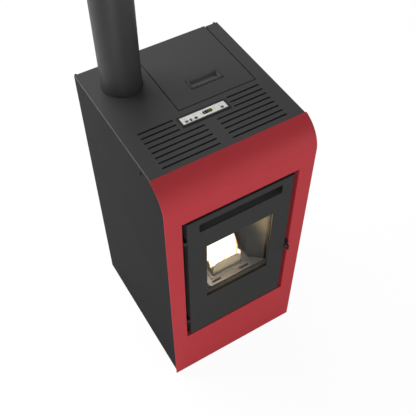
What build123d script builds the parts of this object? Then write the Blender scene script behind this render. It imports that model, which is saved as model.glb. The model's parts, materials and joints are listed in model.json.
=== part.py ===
"""Pellet stove: sheet casing, glazed door, firebox, hopper, auger, fans and a flue pipe.

Millimetres, +Z up, the front faces -Y. The origin is on the floor, under the middle of the casing.
Depths are given as distances behind the front panel's face, heights from the floor.
"""
from build123d import *
from math import acos, cos, pi, radians, sin, sqrt
import os

# ---- casing ----
casing_width = 490.0
casing_depth = 541.0
casing_height = 1029.0
casing_sheet = 2.0
ground_gap = 22.0
return_flange = 15.0
sheet_gap = 0.2

# ---- red front panel ----
front_sheet = 2.5
front_side_overhang = 2.0
front_ground_gap = 4.0
front_bend_radius = 97.0
front_wrap = 67.6
opening_width = 389.6
opening_bottom = 241.0
opening_top = 884.0
reveal_depth = 18.0
front_edge_round = 1.2
top_edge_round = 1.2

# ---- front frame behind the door ----
frame_depth = 36.0
frame_sheet = 3.0
frame_top = 1000.0
mouth_width = 282.0
mouth_bottom = 416.0
mouth_top = 800.0
ash_mouth_width = 250.0
ash_mouth_bottom = 268.0
ash_mouth_top = 400.0

# ---- door ----
door_width = 360.0
door_bottom = 247.0
door_top = 872.0
door_flange = 12.0
door_sheet = 2.0
door_edge_round = 2.4
window_width = 233.0
window_bottom = 445.0
window_top = 727.5
window_reveal = 8.0
slot_width = 281.0
slot_bottom = 812.5
slot_top = 848.0
slot_corner = 3.0
glass_margin = 11.5
glass_thickness = 4.0
glass_seal_thickness = 2.0
ring_width = 336.0
ring_bar = 28.0
ring_bottom = 252.0
ring_top = 808.0
ring_back = 30.0
ring_rail_bottom = 386.0
ring_rail_top = 412.0
rope_width = 9.6
rope_groove = 4.0
rope_gap = 0.3
clip_thickness = 1.5
clip_height = 20.0
clip_grip = 5.0

# ---- door hinges ----
hinge_axis_gap = 6.0
hinge_axis_depth = 6.0
hinge_pin_radius = 2.5
hinge_running_gap = 0.06
hinge_lug_height = 12.0
hinge_lug_radius = 5.2
hinge_arm_height = 10.0
hinge_heights = (333.0, 780.0)
hinge_pin_head = 2.0

# ---- door latch ----
latch_height = 520.0
latch_pivot_depth = 6.5
latch_pivot_radius = 2.5
latch_plate = 5.0
latch_side_gap = 0.5
grip_reach = 20.0
grip_height = 23.5
grip_corner = 5.0
latch_arm_height = 10.0
latch_arm_drop = 2.0
latch_arm_length = 25.0
latch_notch_radius = 18.0
latch_turn = 30.0
keeper_pin_radius = 2.5
keeper_play = 0.6
keeper_block = 6.0
keeper_height = 16.0

# ---- firebox ----
firebox_width = 302.0
firebox_wall = 3.0
firebox_depth = 179.0
firebox_floor = 416.0
firebox_top = 872.0
ash_box_width = 260.0
ash_box_bottom = 258.0
liner_thickness = 12.0
liner_top = 776.0
liner_splay_depth = 83.0
liner_waist = 176.0
liner_groove_width = 2.0
liner_groove_depth = 1.0
liner_groove_height = 538.0
baffle_thickness = 12.0
baffle_front = 60.0
support_top = 431.0
support_sheet = 3.0
support_width = 171.0
support_front = 33.0
support_back = 166.0
support_corner = 9.0
support_step_width = 132.0
support_step_front = 57.0
support_step = 4.0
support_skirt = 2.0
ash_slot_width = 30.0
ash_slot_height = 4.0
ash_slot_place = 53.0
ash_slot_depth = 45.0
pot_width = 106.0
pot_front = 66.0
pot_back = 152.0
pot_top = 489.0
pot_bottom = 409.0
pot_wall = 3.0
pot_rim = 5.0
pot_rim_thickness = 3.0
pot_corner = 22.0
pot_seat_gap = 0.5
pot_hole_radius = 2.5
pot_hole_pitch = 14.0
drawer_width = 220.0
drawer_front = 46.0
drawer_back = 204.0
drawer_height = 68.0
drawer_sheet = 1.5
drawer_pull_width = 70.0
drawer_pull_reach = 14.0
igniter_radius = 5.0
igniter_height = 425.0
igniter_tail = 30.0

# ---- air path ----
tube_count = 7
tube_radius = 14.0
tube_wall = 2.0
tube_pitch = 36.0
tube_height = 830.0
tube_gap = 0.1
plenum_width = 260.0
plenum_depth = 34.0
plenum_bottom = 800.0
plenum_top = 866.0
duct_wall = 1.5
duct_left = 70.0
duct_right = 130.0
blower_front_gap = 7.0
blower_center_height = 150.0
blower_radius = 75.0
blower_left = 60.0
blower_width = 90.0
blower_neck_top = 240.0
blower_inlet_radius = 40.0
blower_wheel_radius = 60.0
blower_wheel_width = 72.0
blower_blades = 24
motor_radius = 32.0
motor_length = 52.0
shaft_radius = 4.0
shaft_gap = 0.05

# ---- smoke path ----
smoke_width = 40.0
smoke_front = 120.0
smoke_depth = 80.0
smoke_top = 860.0
smoke_bottom = 120.0
smoke_mouth = 50.0
smoke_run_top = 180.0
flue_inset = 104.6
flue_depth = 438.5
flue_radius = 60.0
flue_wall = 1.5
flue_length = 500.0
flue_hole_gap = 1.0
riser_radius = 40.0
riser_wall = 1.5
riser_top = 975.0
riser_collar = 3.0
exhaust_inset = 74.0
exhaust_height = 150.0
exhaust_radius = 68.0
exhaust_depth = 80.0
exhaust_wall = 2.0
exhaust_neck_top = 235.0
exhaust_wheel_radius = 56.0
exhaust_wheel_width = 44.0
exhaust_blades = 8
stand_width = 40.0

# ---- hopper and feed ----
hopper_left = -45.0
hopper_right = 193.0
hopper_front = 262.0
hopper_back = 525.0
hopper_rim_height = 1012.0
hopper_rim_sheet = 2.0
hopper_shoulder = 800.0
hopper_throat_height = 600.0
hopper_throat_width = 48.0
hopper_throat_front = 405.0
hopper_throat_back = 455.0
hopper_throat_bottom = 495.0
hopper_wall = 1.5
grille_height = 880.0
grille_bar = 4.0
grille_pitch = 26.0
auger_foot_depth = 455.0
auger_foot_height = 470.0
auger_length = 290.0
auger_slope = 45.0
auger_tube_radius = 30.0
auger_tube_wall = 3.0
screw_radius = 24.0
screw_shaft_radius = 8.0
screw_pitch = 40.0
screw_land = 9.0
screw_end_gap = 4.0
gearbox_size = 60.0
gearbox_length = 40.0
gear_motor_radius = 26.0
gear_motor_length = 42.0
drive_length = 20.0
chute_width = 54.0
chute_wall = 2.0
chute_depth = 52.0
chute_mouth_depth = 186.0
chute_mouth_height = 583.0
chute_slope = 48.0
chute_length = 138.0

# ---- hopper lid ----
lid_left = -53.3
lid_right = 200.7
lid_front = 256.2
lid_overhang = 4.0
lid_gap = 2.6
lid_skirt_gap = 0.3
lid_corner_round = 1.0
lid_hinge_places = (-10.0, 157.0)
lid_barrel_radius = 4.0
lid_barrel_length = 13.4
lid_leaf_length = 13.0
lid_barrel_gap = 0.3
lid_pin_radius = 1.5
lid_pin_gap = 0.08
lid_axis_behind = 4.5
lid_axis_drop = 10.0
lid_leaf_drop = 40.0
pull_left = 22.0
pull_right = 126.0
pull_front = 312.0
pull_back = 353.0
pull_rim = 2.0
pull_border = 6.5
pull_depth = 11.0
pull_wall = 1.5

# ---- controls ----
control_x = 0.7
control_depth = 211.5
bezel_width = 157.0
bezel_height = 42.0
bezel_rise = 2.5
bezel_skirt_width = 149.6
bezel_skirt_height = 33.6
bezel_skirt_depth = 9.0
label_width = 144.0
label_height = 28.0
label_thickness = 2.0
label_sink = 1.0
label_ledge = 1.5
display_width = 27.0
display_height = 9.5
display_x = 11.3
display_rise = 0.3
key_radius = 5.0
key_gap = 0.15
key_rise = 0.9
key_travel = 0.8
key_flange = 1.2
key_flange_thickness = 1.2
key_places = (-58.0, -44.7, -28.7, 55.8)
key_depth = 205.5

# ---- vents in the top ----
vent_first = 90.4
vent_pitch = 20.1
vent_width = 5.4
vent_outer = 196.8
vent_inner = 19.0
vent_inner_rear = 87.0
vent_long_rows = 5
vent_short_rows = 3
rear_vent_rows = 6
rear_vent_pitch = 22.0
rear_vent_length = 110.0
rear_vent_x = 95.0
rear_vent_height = 640.0

# ---- rear fittings ----
intake_radius = 25.0
intake_pipe_radius = 24.0
intake_wall = 1.5
intake_height = 310.0
intake_reach = 20.0
intake_collar = 10.0
inlet_x = 175.0
inlet_height = 90.0
inlet_width = 30.0
inlet_tall = 52.0
inlet_lip = 3.0
inlet_lip_thickness = 2.0
inlet_depth = 28.0
socket_width = 22.0
socket_tall = 16.0
socket_depth = 18.0
socket_pin = 2.0
rocker_width = 12.0
rocker_tall = 18.0
rocker_thickness = 7.0
rocker_stand = 1.5
rocker_tilt = 16.0
rocker_pivot_radius = 1.5
board_width = 120.0
board_tall = 160.0
board_thickness = 2.0
board_standoff = 8.0
board_depth = 300.0
board_bottom = 520.0
board_post_radius = 3.0
board_post_inset = 8.0
# along the board, up from its lower edge, width, height, rise
board_parts = (
    (36.0, 40.0, 36.0, 40.0, 26.0),
    (86.0, 32.0, 22.0, 22.0, 18.0),
    (30.0, 100.0, 26.0, 14.0, 16.0),
    (84.0, 96.0, 30.0, 46.0, 9.0),
)

# ---- screws and feet ----
screw_head_radius = 4.0
screw_head_height = 2.4
screw_shank_radius = 2.0
screw_shank_length = 6.0
screw_hole_gap = 0.1
side_screws = ((122.6, 1005.5), (455.0, 1006.6))
rear_screw_heights = (60.0, 520.0, 1015.0)
rear_screw_inset = 8.0
foot_inset_x = 45.0
foot_front = 70.0
foot_back = 470.0
foot_pad_radius = 20.0
foot_pad_height = 8.0
foot_stud_radius = 6.0
foot_stud_top = 44.0
foot_nut_radius = 10.0
foot_hole_gap = 0.08

# ---- places worked out from the sizes above ----
half_width = casing_width / 2
flue_x = flue_inset - half_width
exhaust_x = exhaust_inset - half_width
rear = casing_depth
top_underside = casing_height - casing_sheet
bend_inner = front_bend_radius - front_sheet
bend_rise = sqrt(front_bend_radius**2 - (front_bend_radius - front_wrap) ** 2) / front_bend_radius
bend_height = casing_height - bend_inner * bend_rise
wrap_inner = front_bend_radius - bend_inner * (front_bend_radius - front_wrap) / front_bend_radius
frame_back = frame_depth + frame_sheet
firebox_back = frame_back + firebox_depth
inner_half = half_width - casing_sheet
floor_underside = firebox_floor - firebox_wall
skirt_bottom = hopper_rim_height + lid_skirt_gap
window_height = window_top - window_bottom
window_middle = (window_top + window_bottom) / 2
glass_front = window_reveal + glass_seal_thickness
glass_back = glass_front + glass_thickness
tube_places = [(i - (tube_count - 1) / 2) * tube_pitch for i in range(tube_count)]
plenum_back = firebox_back + plenum_depth
blower_center_depth = firebox_back + blower_front_gap + blower_radius
wheel_x = blower_left + blower_width / 2
exhaust_front = flue_depth - exhaust_depth / 2
exhaust_back = flue_depth + exhaust_depth / 2
lid_axis_depth = rear + lid_overhang + lid_axis_behind
lid_axis_height = casing_height - lid_axis_drop
hinge_x = -door_width / 2 - hinge_axis_gap
rear_screw_x = half_width - rear_screw_inset
screw_hole_radius = screw_shank_radius + screw_hole_gap


def behind(distance):
    """Y of a point that lies this far behind the front panel's face."""
    return distance - casing_depth / 2


def block(x, depth, height):
    """Box between pairs of x, depth behind the front, and height."""
    middle = Pos(sum(x) / 2, behind(sum(depth) / 2), sum(height) / 2)
    return middle * Box(x[1] - x[0], depth[1] - depth[0], height[1] - height[0])


def upright(x, depth, height, radius):
    """Vertical cylinder between two heights."""
    middle = Pos(x, behind(depth), sum(height) / 2)
    return middle * Cylinder(radius, height[1] - height[0])


def along_y(x, depth, height, radius):
    """Cylinder that runs front to back between two depths."""
    middle = Pos(x, behind(sum(depth) / 2), height)
    return middle * Rot(90, 0, 0) * Cylinder(radius, depth[1] - depth[0])


def along_x(x, depth, height, radius):
    """Cylinder that runs left to right between two x."""
    middle = Pos(sum(x) / 2, behind(depth), height)
    return middle * Rot(0, 90, 0) * Cylinder(radius, x[1] - x[0])


def side_section(path, x):
    """Prism between two x, with its outline drawn in depth and height."""
    plane = Plane(origin=(x[0], behind(0), 0), x_dir=(0, 1, 0), z_dir=(1, 0, 0))
    return extrude(plane * make_face(path), x[1] - x[0])


def plan_section(points, height):
    """Prism between two heights, with its outline drawn in x and depth."""
    plane = Plane(origin=(0, behind(0), height[0]), x_dir=(1, 0, 0), z_dir=(0, 0, 1))
    return extrude(plane * make_face(Polyline(*points, close=True)), height[1] - height[0])


def both(half):
    """Symmetric pair of limits."""
    return (-half, half)


def ring_walls(outer, inner, height):
    """Four butted plates between two rectangles, each given by its x and depth limits."""
    outer_x, outer_depth = outer
    inner_x, inner_depth = inner
    return [
        block((outer_x[0], inner_x[0]), outer_depth, height),
        block((inner_x[1], outer_x[1]), outer_depth, height),
        block(inner_x, (outer_depth[0], inner_depth[0]), height),
        block(inner_x, (inner_depth[1], outer_depth[1]), height),
    ]


# ---------------------------------------------------------------- casing


def front_panel():
    """Red sheet: flat front, bend over the top edge, door opening with a folded reveal."""
    end_angle = pi - acos((front_bend_radius - front_wrap) / front_bend_radius)

    def on_bend(radius, share):
        """Point on the bend: share 0 is its end over the top, share 1 its start at the front."""
        angle = pi * share + end_angle * (1 - share)
        return (front_bend_radius + radius * cos(angle), bend_height + radius * sin(angle))

    outer = front_bend_radius
    inner = bend_inner
    path = [
        Line((0, front_ground_gap), (0, bend_height)),
        ThreePointArc((0, bend_height), on_bend(outer, 0.5), on_bend(outer, 0)),
        Line(on_bend(outer, 0), on_bend(inner, 0)),
        ThreePointArc(on_bend(inner, 0), on_bend(inner, 0.5), (front_sheet, bend_height)),
        Line((front_sheet, bend_height), (front_sheet, front_ground_gap)),
        Line((front_sheet, front_ground_gap), (0, front_ground_gap)),
    ]
    half = half_width + front_side_overhang
    sheet = side_section(path, both(half))
    hole = both(opening_width / 2)
    tall = (opening_bottom, opening_top)
    wide = (hole[0] - front_sheet, hole[1] + front_sheet)
    high = (tall[0] - front_sheet, tall[1] + front_sheet)
    reveal = block(wide, (front_sheet, reveal_depth), high)
    panel = sheet + reveal - block(hole, (-1, reveal_depth + 1), tall)
    front_face = panel.faces().filter_by(Axis.Y).sort_by(Axis.Y)[0]
    rim = front_face.inner_wires()[0].edges()
    return fillet(rim, front_edge_round)


def side_panel(side):
    """Side sheet whose front edge follows the red bend, with a rear return flange."""
    setback = front_sheet + sheet_gap
    radius = front_bend_radius - setback
    rise = top_underside - bend_height
    reach = front_bend_radius - sqrt(radius**2 - rise**2)
    middle_angle = radians(180 - 0.5 * Vector(-1, 0).get_angle(Vector(reach - front_bend_radius, rise)))
    middle = (front_bend_radius + radius * cos(middle_angle), bend_height + radius * sin(middle_angle))
    path = [
        Line((setback, ground_gap), (setback, bend_height)),
        ThreePointArc((setback, bend_height), middle, (reach, top_underside)),
        Line((reach, top_underside), (rear, top_underside)),
        Line((rear, top_underside), (rear, ground_gap)),
        Line((rear, ground_gap), (setback, ground_gap)),
    ]
    x = sorted((side * inner_half, side * half_width))
    panel = side_section(path, x)
    flange_x = sorted((side * (inner_half - return_flange), side * inner_half))
    flange_depth = (rear - 2 * casing_sheet, rear - casing_sheet)
    panel += block(flange_x, flange_depth, (ground_gap + casing_sheet, top_underside - casing_sheet))
    for depth, height in side_screws:
        panel -= along_x(both(half_width + 1), depth, height, screw_hole_radius)
    for height in rear_screw_heights:
        panel -= along_y(side * rear_screw_x, (rear - 10, rear + 1), height, screw_hole_radius)
    return panel


def top_plate():
    """Top sheet with vent slots and cut-outs, its side flanges and the collar round the lid."""
    front = wrap_inner + sheet_gap
    height = (top_underside, casing_height)
    plate = block(both(half_width), (front, rear), height)
    plate = fillet(plate.edges().filter_by(Axis.Y).group_by(Axis.Z)[-1], top_edge_round)
    lid_hole_x = (lid_left - lid_gap, lid_right + lid_gap)
    lid_hole_front = lid_front - lid_gap
    plate -= block(lid_hole_x, (lid_hole_front, rear + 1), (top_underside - 1, casing_height + 1))
    skirt_x = (control_x - bezel_skirt_width / 2 - sheet_gap, control_x + bezel_skirt_width / 2 + sheet_gap)
    half_skirt = bezel_skirt_height / 2 + sheet_gap
    plate -= block(skirt_x, (control_depth - half_skirt, control_depth + half_skirt), height)
    plate -= upright(flue_x, flue_depth, height, flue_radius + flue_hole_gap)
    solids = [plate - vent_slots(height)]
    for side in (-1, 1):
        x = sorted((side * (inner_half - casing_sheet), side * inner_half))
        drop = (top_underside - 2 * return_flange, top_underside)
        flange = block(x, (front + return_flange, rear - 2 * casing_sheet), drop)
        for depth, screw_height in side_screws:
            flange -= along_x(both(half_width), depth, screw_height, screw_hole_radius)
        solids.append(flange)
    collar_z = (hopper_rim_height - 3 * hopper_rim_sheet, top_underside)
    collar_x = (lid_hole_x[0] - casing_sheet, lid_hole_x[1] + casing_sheet)
    collar_depth = (lid_hole_front, rear - casing_sheet)
    solids.append(block(collar_x, (lid_hole_front - casing_sheet, lid_hole_front), collar_z))
    solids.append(block((collar_x[0], lid_hole_x[0]), collar_depth, collar_z))
    solids.append(block((lid_hole_x[1], collar_x[1]), collar_depth, collar_z))
    return Compound(children=solids)


def vent_slots(height):
    """Two groups of obround slots; the rows beside the controls are shorter."""
    slots = Part()
    for row in range(vent_long_rows + vent_short_rows):
        inner = vent_inner if row < vent_long_rows else vent_inner_rear
        length = vent_outer - inner
        y = behind(vent_first + row * vent_pitch)
        for side in (-1, 1):
            outline = Pos(side * (inner + length / 2), y, height[0]) * SlotOverall(length, vent_width)
            slots += extrude(outline, height[1] - height[0])
    return slots


def rear_panel():
    """Rear sheets: one on each side and a middle strip above and below the air pipe."""
    height = (ground_gap + casing_sheet, top_underside)
    depth = (rear - casing_sheet, rear)
    strip = intake_pipe_radius + sheet_gap
    lid_hole_x = (lid_left - lid_gap, lid_right + lid_gap)
    through = (rear - 5, rear + 1)
    lid_hole = block(lid_hole_x, through, (hopper_rim_height - hopper_rim_sheet, casing_height))
    inlet_x_limits = (inlet_x - inlet_width / 2 - sheet_gap, inlet_x + inlet_width / 2 + sheet_gap)
    inlet_z = (inlet_height - inlet_tall / 2 - sheet_gap, inlet_height + inlet_tall / 2 + sheet_gap)
    sheets = []
    for side in (-1, 1):
        sheet = block(sorted((side * strip, side * inner_half)), depth, height)
        sheet = sheet - lid_hole - block(inlet_x_limits, through, inlet_z)
        for screw_height in rear_screw_heights:
            sheet -= along_y(side * rear_screw_x, through, screw_height, screw_hole_radius)
        for row in range(rear_vent_rows):
            place = Pos(side * rear_vent_x, behind(rear), rear_vent_height + row * rear_vent_pitch)
            outline = place * Rot(90, 0, 0) * SlotOverall(rear_vent_length, vent_width)
            sheet -= extrude(outline, casing_sheet * 2, both=True)
        sheets.append(sheet)
    lower = block(both(strip), depth, (height[0], intake_height - strip))
    upper = block(both(strip), depth, (intake_height + strip, height[1]))
    return Compound(children=sheets + [lower, upper - lid_hole])


def base_plate():
    """Floor of the casing, with upturned front and rear edges and holes for the feet."""
    front = front_sheet + sheet_gap
    height = (ground_gap, ground_gap + casing_sheet)
    plate = block(both(inner_half), (front, rear), height)
    plate -= block(both(inner_half), (rear - casing_sheet, rear + 1), (height[1], height[1] + 1))
    for x, depth in foot_places():
        plate -= upright(x, depth, height, foot_stud_radius + foot_hole_gap)
    return plate


def foot_places():
    """Middles of the four feet."""
    x = half_width - foot_inset_x
    return [(-x, foot_front), (x, foot_front), (-x, foot_back), (x, foot_back)]


def foot(x, depth):
    """Levelling foot: pad, threaded stud and the nut that carries the base plate."""
    part = upright(x, depth, (0, foot_pad_height), foot_pad_radius)
    part += upright(x, depth, (0, foot_stud_top), foot_stud_radius)
    outline = Pos(x, behind(depth), foot_pad_height) * RegularPolygon(foot_nut_radius, 6)
    return part + extrude(outline, ground_gap - foot_pad_height)


def front_frame():
    """Chassis sheet behind the door, with the firebox mouth, ash mouth and air tube holes."""
    height = (ground_gap + casing_sheet, frame_top)
    frame = block(both(inner_half), (frame_depth, frame_back), height)
    for side in (-1, 1):
        x = sorted((side * (inner_half - frame_sheet), side * inner_half))
        frame += block(x, (front_sheet + sheet_gap, frame_depth), (height[0], bend_height))
    frame -= block(both(mouth_width / 2), (0, frame_back + 1), (mouth_bottom, mouth_top))
    frame -= block(both(ash_mouth_width / 2), (0, frame_back + 1), (ash_mouth_bottom, ash_mouth_top))
    for x in tube_places:
        frame -= along_y(x, (0, frame_back + 1), tube_height, tube_radius + tube_gap)
    return frame


def casing_screws():
    """Pan-head screws in the sides and the rear."""
    screws = []
    for side in (-1, 1):
        for depth, height in side_screws:
            head = sorted((side * half_width, side * (half_width + screw_head_height)))
            shank = sorted((side * half_width, side * (half_width - screw_shank_length)))
            head_part = along_x(head, depth, height, screw_head_radius)
            screws.append(head_part + along_x(shank, depth, height, screw_shank_radius))
        for height in rear_screw_heights:
            x = side * rear_screw_x
            head_part = along_y(x, (rear, rear + screw_head_height), height, screw_head_radius)
            shank = (rear - screw_shank_length, rear)
            screws.append(head_part + along_y(x, shank, height, screw_shank_radius))
    return Compound(children=screws)


# ---------------------------------------------------------------- door


def door_panel():
    """Door skin: pan with window and slot, hinge lugs and the latch's pivot stud."""
    half = door_width / 2
    x = both(half)
    z = (door_bottom, door_top)
    skin = block(x, (0, door_flange), z)
    front_edges = skin.faces().sort_by(Axis.Y)[0].edges()
    skin = fillet(front_edges, door_edge_round)
    inside_x = both(half - door_sheet)
    inside_z = (z[0] + door_sheet, z[1] - door_sheet)
    skin -= block(inside_x, (door_sheet, door_flange + 1), inside_z)
    window_x = both(window_width / 2)
    collar_x = both(window_width / 2 + door_sheet)
    collar_z = (window_bottom - door_sheet, window_top + door_sheet)
    skin += block(collar_x, (door_sheet, window_reveal), collar_z)
    skin -= block(window_x, (-1, window_reveal + 1), (window_bottom, window_top))
    middle = Pos(0, behind(-1), (slot_bottom + slot_top) / 2) * Rot(-90, 0, 0)
    slot = middle * RectangleRounded(slot_width, slot_top - slot_bottom, slot_corner)
    skin -= extrude(slot, door_sheet + 2)
    for height in hinge_heights:
        skin += hinge_lug(height)
    return skin + latch_stud()


def hinge_lug(height):
    """Lug on the door's left edge that turns on a hinge pin."""
    z = (height, height + hinge_lug_height)
    lug = upright(hinge_x, hinge_axis_depth, z, hinge_lug_radius)
    depth = (hinge_axis_depth - hinge_lug_radius, hinge_axis_depth + hinge_lug_radius)
    lug += block((hinge_x, -door_width / 2 + door_sheet), depth, z)
    return lug - upright(hinge_x, hinge_axis_depth, z, hinge_pin_radius + hinge_running_gap)


def latch_stud():
    """Pivot stud of the latch, welded to the door's right flange."""
    inner = door_width / 2 - door_sheet
    plate_left = door_width / 2 + latch_side_gap
    plate_right = plate_left + latch_plate
    shank = (inner, plate_right + latch_side_gap)
    stud = along_x(shank, latch_pivot_depth, latch_height, latch_pivot_radius)
    head = (plate_right + latch_side_gap, plate_right + 2 * latch_side_gap + 1)
    return stud + along_x(head, latch_pivot_depth, latch_height, latch_pivot_radius + 2)


def door_frame():
    """Stiffening ring behind the skin, with a cross rail and the groove for the rope."""
    half = ring_width / 2
    depth = (door_sheet, ring_back)
    ring = block(both(half), depth, (ring_bottom, ring_top))
    inner = both(half - ring_bar)
    ring -= block(inner, depth, (ring_rail_top, ring_top - ring_bar))
    ring -= block(inner, depth, (ring_bottom + ring_bar, ring_rail_bottom))
    return ring - rope_ring((ring_back - rope_groove, ring_back + 1), 0)


def rope_ring(depth, play):
    """Closed square ring along the middle of the door frame's bars."""
    outer = ring_width / 2 - (ring_bar - rope_width) / 2 - play
    inner = outer - rope_width + 2 * play
    low = ring_bottom + (ring_bar - rope_width) / 2 + play
    high = ring_top - (ring_bar - rope_width) / 2 - play
    wall = rope_width - 2 * play
    ring = block(both(outer), depth, (low, high))
    return ring - block(both(inner), depth, (low + wall, high - wall))


def door_seal():
    """Rope seal that the door presses on the front frame."""
    return rope_ring((ring_back - rope_groove, frame_depth - rope_gap), 0)


def door_glass():
    """Heat-proof pane, larger than the window by its margin."""
    x = both(window_width / 2 + glass_margin)
    return block(x, (glass_front, glass_back), (window_bottom - glass_margin, window_top + glass_margin))


def glass_seal():
    """Flat tape between the window's reveal and the pane."""
    depth = (window_reveal, glass_front)
    outer = both(window_width / 2 + glass_margin)
    tape = block(outer, depth, (window_bottom - glass_margin, window_top + glass_margin))
    return tape - block(both(window_width / 2), depth, (window_bottom, window_top))


def glass_clips():
    """Six strips from the door frame that hold the pane's long edges."""
    inner = ring_width / 2 - ring_bar
    grip = window_width / 2 + glass_margin - clip_grip
    clips = []
    for side in (-1, 1):
        for share in (-0.36, 0.0, 0.36):
            middle = window_middle + share * window_height
            x = sorted((side * grip, side * inner))
            z = (middle - clip_height / 2, middle + clip_height / 2)
            clips.append(block(x, (glass_back, glass_back + clip_thickness), z))
    return Compound(children=clips)


def door_hinge_brackets():
    """Two arms from the front frame, each with its upright pin."""
    brackets = []
    for height in hinge_heights:
        z = (height - hinge_arm_height, height - sheet_gap)
        arm = upright(hinge_x, hinge_axis_depth, z, hinge_lug_radius)
        arm += block(
            (hinge_x - hinge_lug_radius, hinge_x + hinge_lug_radius), (hinge_axis_depth, frame_depth), z
        )
        pin = (z[0], height + hinge_lug_height + hinge_pin_head)
        brackets.append(arm + upright(hinge_x, hinge_axis_depth, pin, hinge_pin_radius))
    return Compound(children=brackets)


# ---------------------------------------------------------------- latch


def latch_lever():
    """Edge lever: grip in front of the door, pivot, and a notched arm that catches the keeper."""
    left = door_width / 2 + latch_side_gap
    x = (left, left + latch_plate)
    half = grip_height / 2
    grip = block(x, (-grip_reach, latch_pivot_depth + 2), (latch_height - half, latch_height + half))
    grip = fillet(grip.edges().filter_by(Axis.X), grip_corner)
    arm_z = (latch_height - latch_arm_height + latch_arm_drop + 2, latch_height + latch_arm_drop + 2)
    arm = block(x, (latch_pivot_depth, latch_pivot_depth + latch_arm_length), arm_z)
    lever = grip + arm
    lever -= along_x(x, latch_pivot_depth, latch_height, latch_pivot_radius + shaft_gap)
    for step in range(7):
        angle = radians(latch_turn * step / 6)
        depth = latch_pivot_depth + latch_notch_radius * cos(angle)
        height = latch_height + latch_notch_radius * sin(angle)
        lever -= along_x(x, depth, height, keeper_pin_radius + keeper_play)
    return lever


def latch_keeper():
    """Block on the front frame with the pin that the latch's notch closes on."""
    angle = radians(latch_turn)
    depth = latch_pivot_depth + latch_notch_radius * cos(angle)
    height = latch_height + latch_notch_radius * sin(angle)
    left = door_width / 2 + latch_plate + 3
    x = (left, left + keeper_block)
    z = (height - keeper_height / 2, height + keeper_height / 2)
    keeper = block(x, (depth - keeper_block / 2, frame_depth), z)
    return keeper + along_x((door_width / 2, left), depth, height, keeper_pin_radius)


# ---------------------------------------------------------------- firebox


def firebox():
    """Welded plates: fire chamber over an ash box, open to the front."""
    half = firebox_width / 2
    inner = half - firebox_wall
    depth = (frame_back, firebox_back)
    inner_back = firebox_back - firebox_wall
    inner_depth = (frame_back, inner_back)
    chamber_z = (floor_underside, firebox_top)
    left = block((-half, -inner), depth, chamber_z)
    mouth = (smoke_top - duct_wall - smoke_mouth, smoke_top - duct_wall)
    mouth_depth = (smoke_front + duct_wall, smoke_front + smoke_depth - duct_wall)
    left -= block((-half - 1, -inner + 1), mouth_depth, mouth)
    right = block((inner, half), depth, chamber_z)
    roof = block(both(inner), depth, (firebox_top - firebox_wall, firebox_top))
    floor = block(both(inner), inner_depth, (floor_underside, firebox_floor))
    fall = both(support_step_width / 2 - support_skirt)
    fall_depth = (support_step_front + support_skirt, support_back - support_skirt)
    floor -= block(fall, fall_depth, (floor_underside, firebox_floor))
    return Compound(children=[left, right, roof, floor, chamber_back(inner_back)] + ash_box(inner_back))


def chamber_back(inner_back):
    """Rear plate of the fire chamber, with holes for air tubes, igniter and pellets."""
    depth = (inner_back, firebox_back)
    half = firebox_width / 2 - firebox_wall
    plate = block(both(half), depth, (floor_underside, firebox_top - firebox_wall))
    for x in tube_places:
        plate -= along_y(x, depth, tube_height, tube_radius + tube_gap)
    return plate - along_y(0, depth, igniter_height, igniter_radius + tube_gap) - chute_solid(0)


def ash_box(inner_back):
    """Rear plate with the air hole, two sides and the bottom under the chamber's floor."""
    outer = ash_box_width / 2
    inner = outer - firebox_wall
    z = (ash_box_bottom, floor_underside)
    depth = (inner_back, firebox_back)
    back = block(both(outer), depth, z)
    back -= along_y(0, depth, intake_height, intake_pipe_radius - intake_wall)
    left = block((-outer, -inner), (frame_back, inner_back), z)
    right = block((inner, outer), (frame_back, inner_back), z)
    bottom = block(both(inner), (frame_back, inner_back), (z[0], z[0] + firebox_wall))
    return [back, left, right, bottom]


def side_liners():
    """Splayed fire boards that narrow the chamber behind the mouth."""
    boards = []
    outer = firebox_width / 2 - firebox_wall
    waist = liner_waist / 2
    back = firebox_back - firebox_wall - liner_thickness
    for side in (-1, 1):
        points = [
            (side * (outer - liner_thickness / 2), frame_back + sheet_gap),
            (side * waist, liner_splay_depth),
            (side * waist, back),
            (side * (waist + liner_thickness), back),
            (side * (waist + liner_thickness), liner_splay_depth + liner_thickness / 2),
            (side * outer, frame_back + liner_thickness),
            (side * outer, frame_back + sheet_gap),
        ]
        board = plan_section(points, (firebox_floor, liner_top))
        groove_x = sorted((side * waist, side * (waist + liner_groove_depth)))
        near_fold = (liner_splay_depth + 1, liner_splay_depth + 1 + liner_groove_width)
        board -= block(groove_x, near_fold, (firebox_floor, liner_top))
        level = (liner_groove_height - liner_groove_width / 2, liner_groove_height + liner_groove_width / 2)
        boards.append(board - block(groove_x, (liner_splay_depth, back), level))
    return Compound(children=boards)


def back_liner():
    """Rear fire board, with holes for the pellets and the igniter."""
    depth = (firebox_back - firebox_wall - liner_thickness, firebox_back - firebox_wall)
    board = block(both(liner_waist / 2 + liner_thickness), depth, (firebox_floor, liner_top))
    board -= along_y(0, (depth[0] - 1, depth[1] + 1), igniter_height, igniter_radius + tube_gap)
    return board - chute_solid(0)


def baffle():
    """Board that lies on the liners and turns the flames forward under the air tubes."""
    half = firebox_width / 2 - firebox_wall - sheet_gap
    depth = (baffle_front, firebox_back - firebox_wall)
    return block(both(half), depth, (liner_top, liner_top + baffle_thickness))


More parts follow.
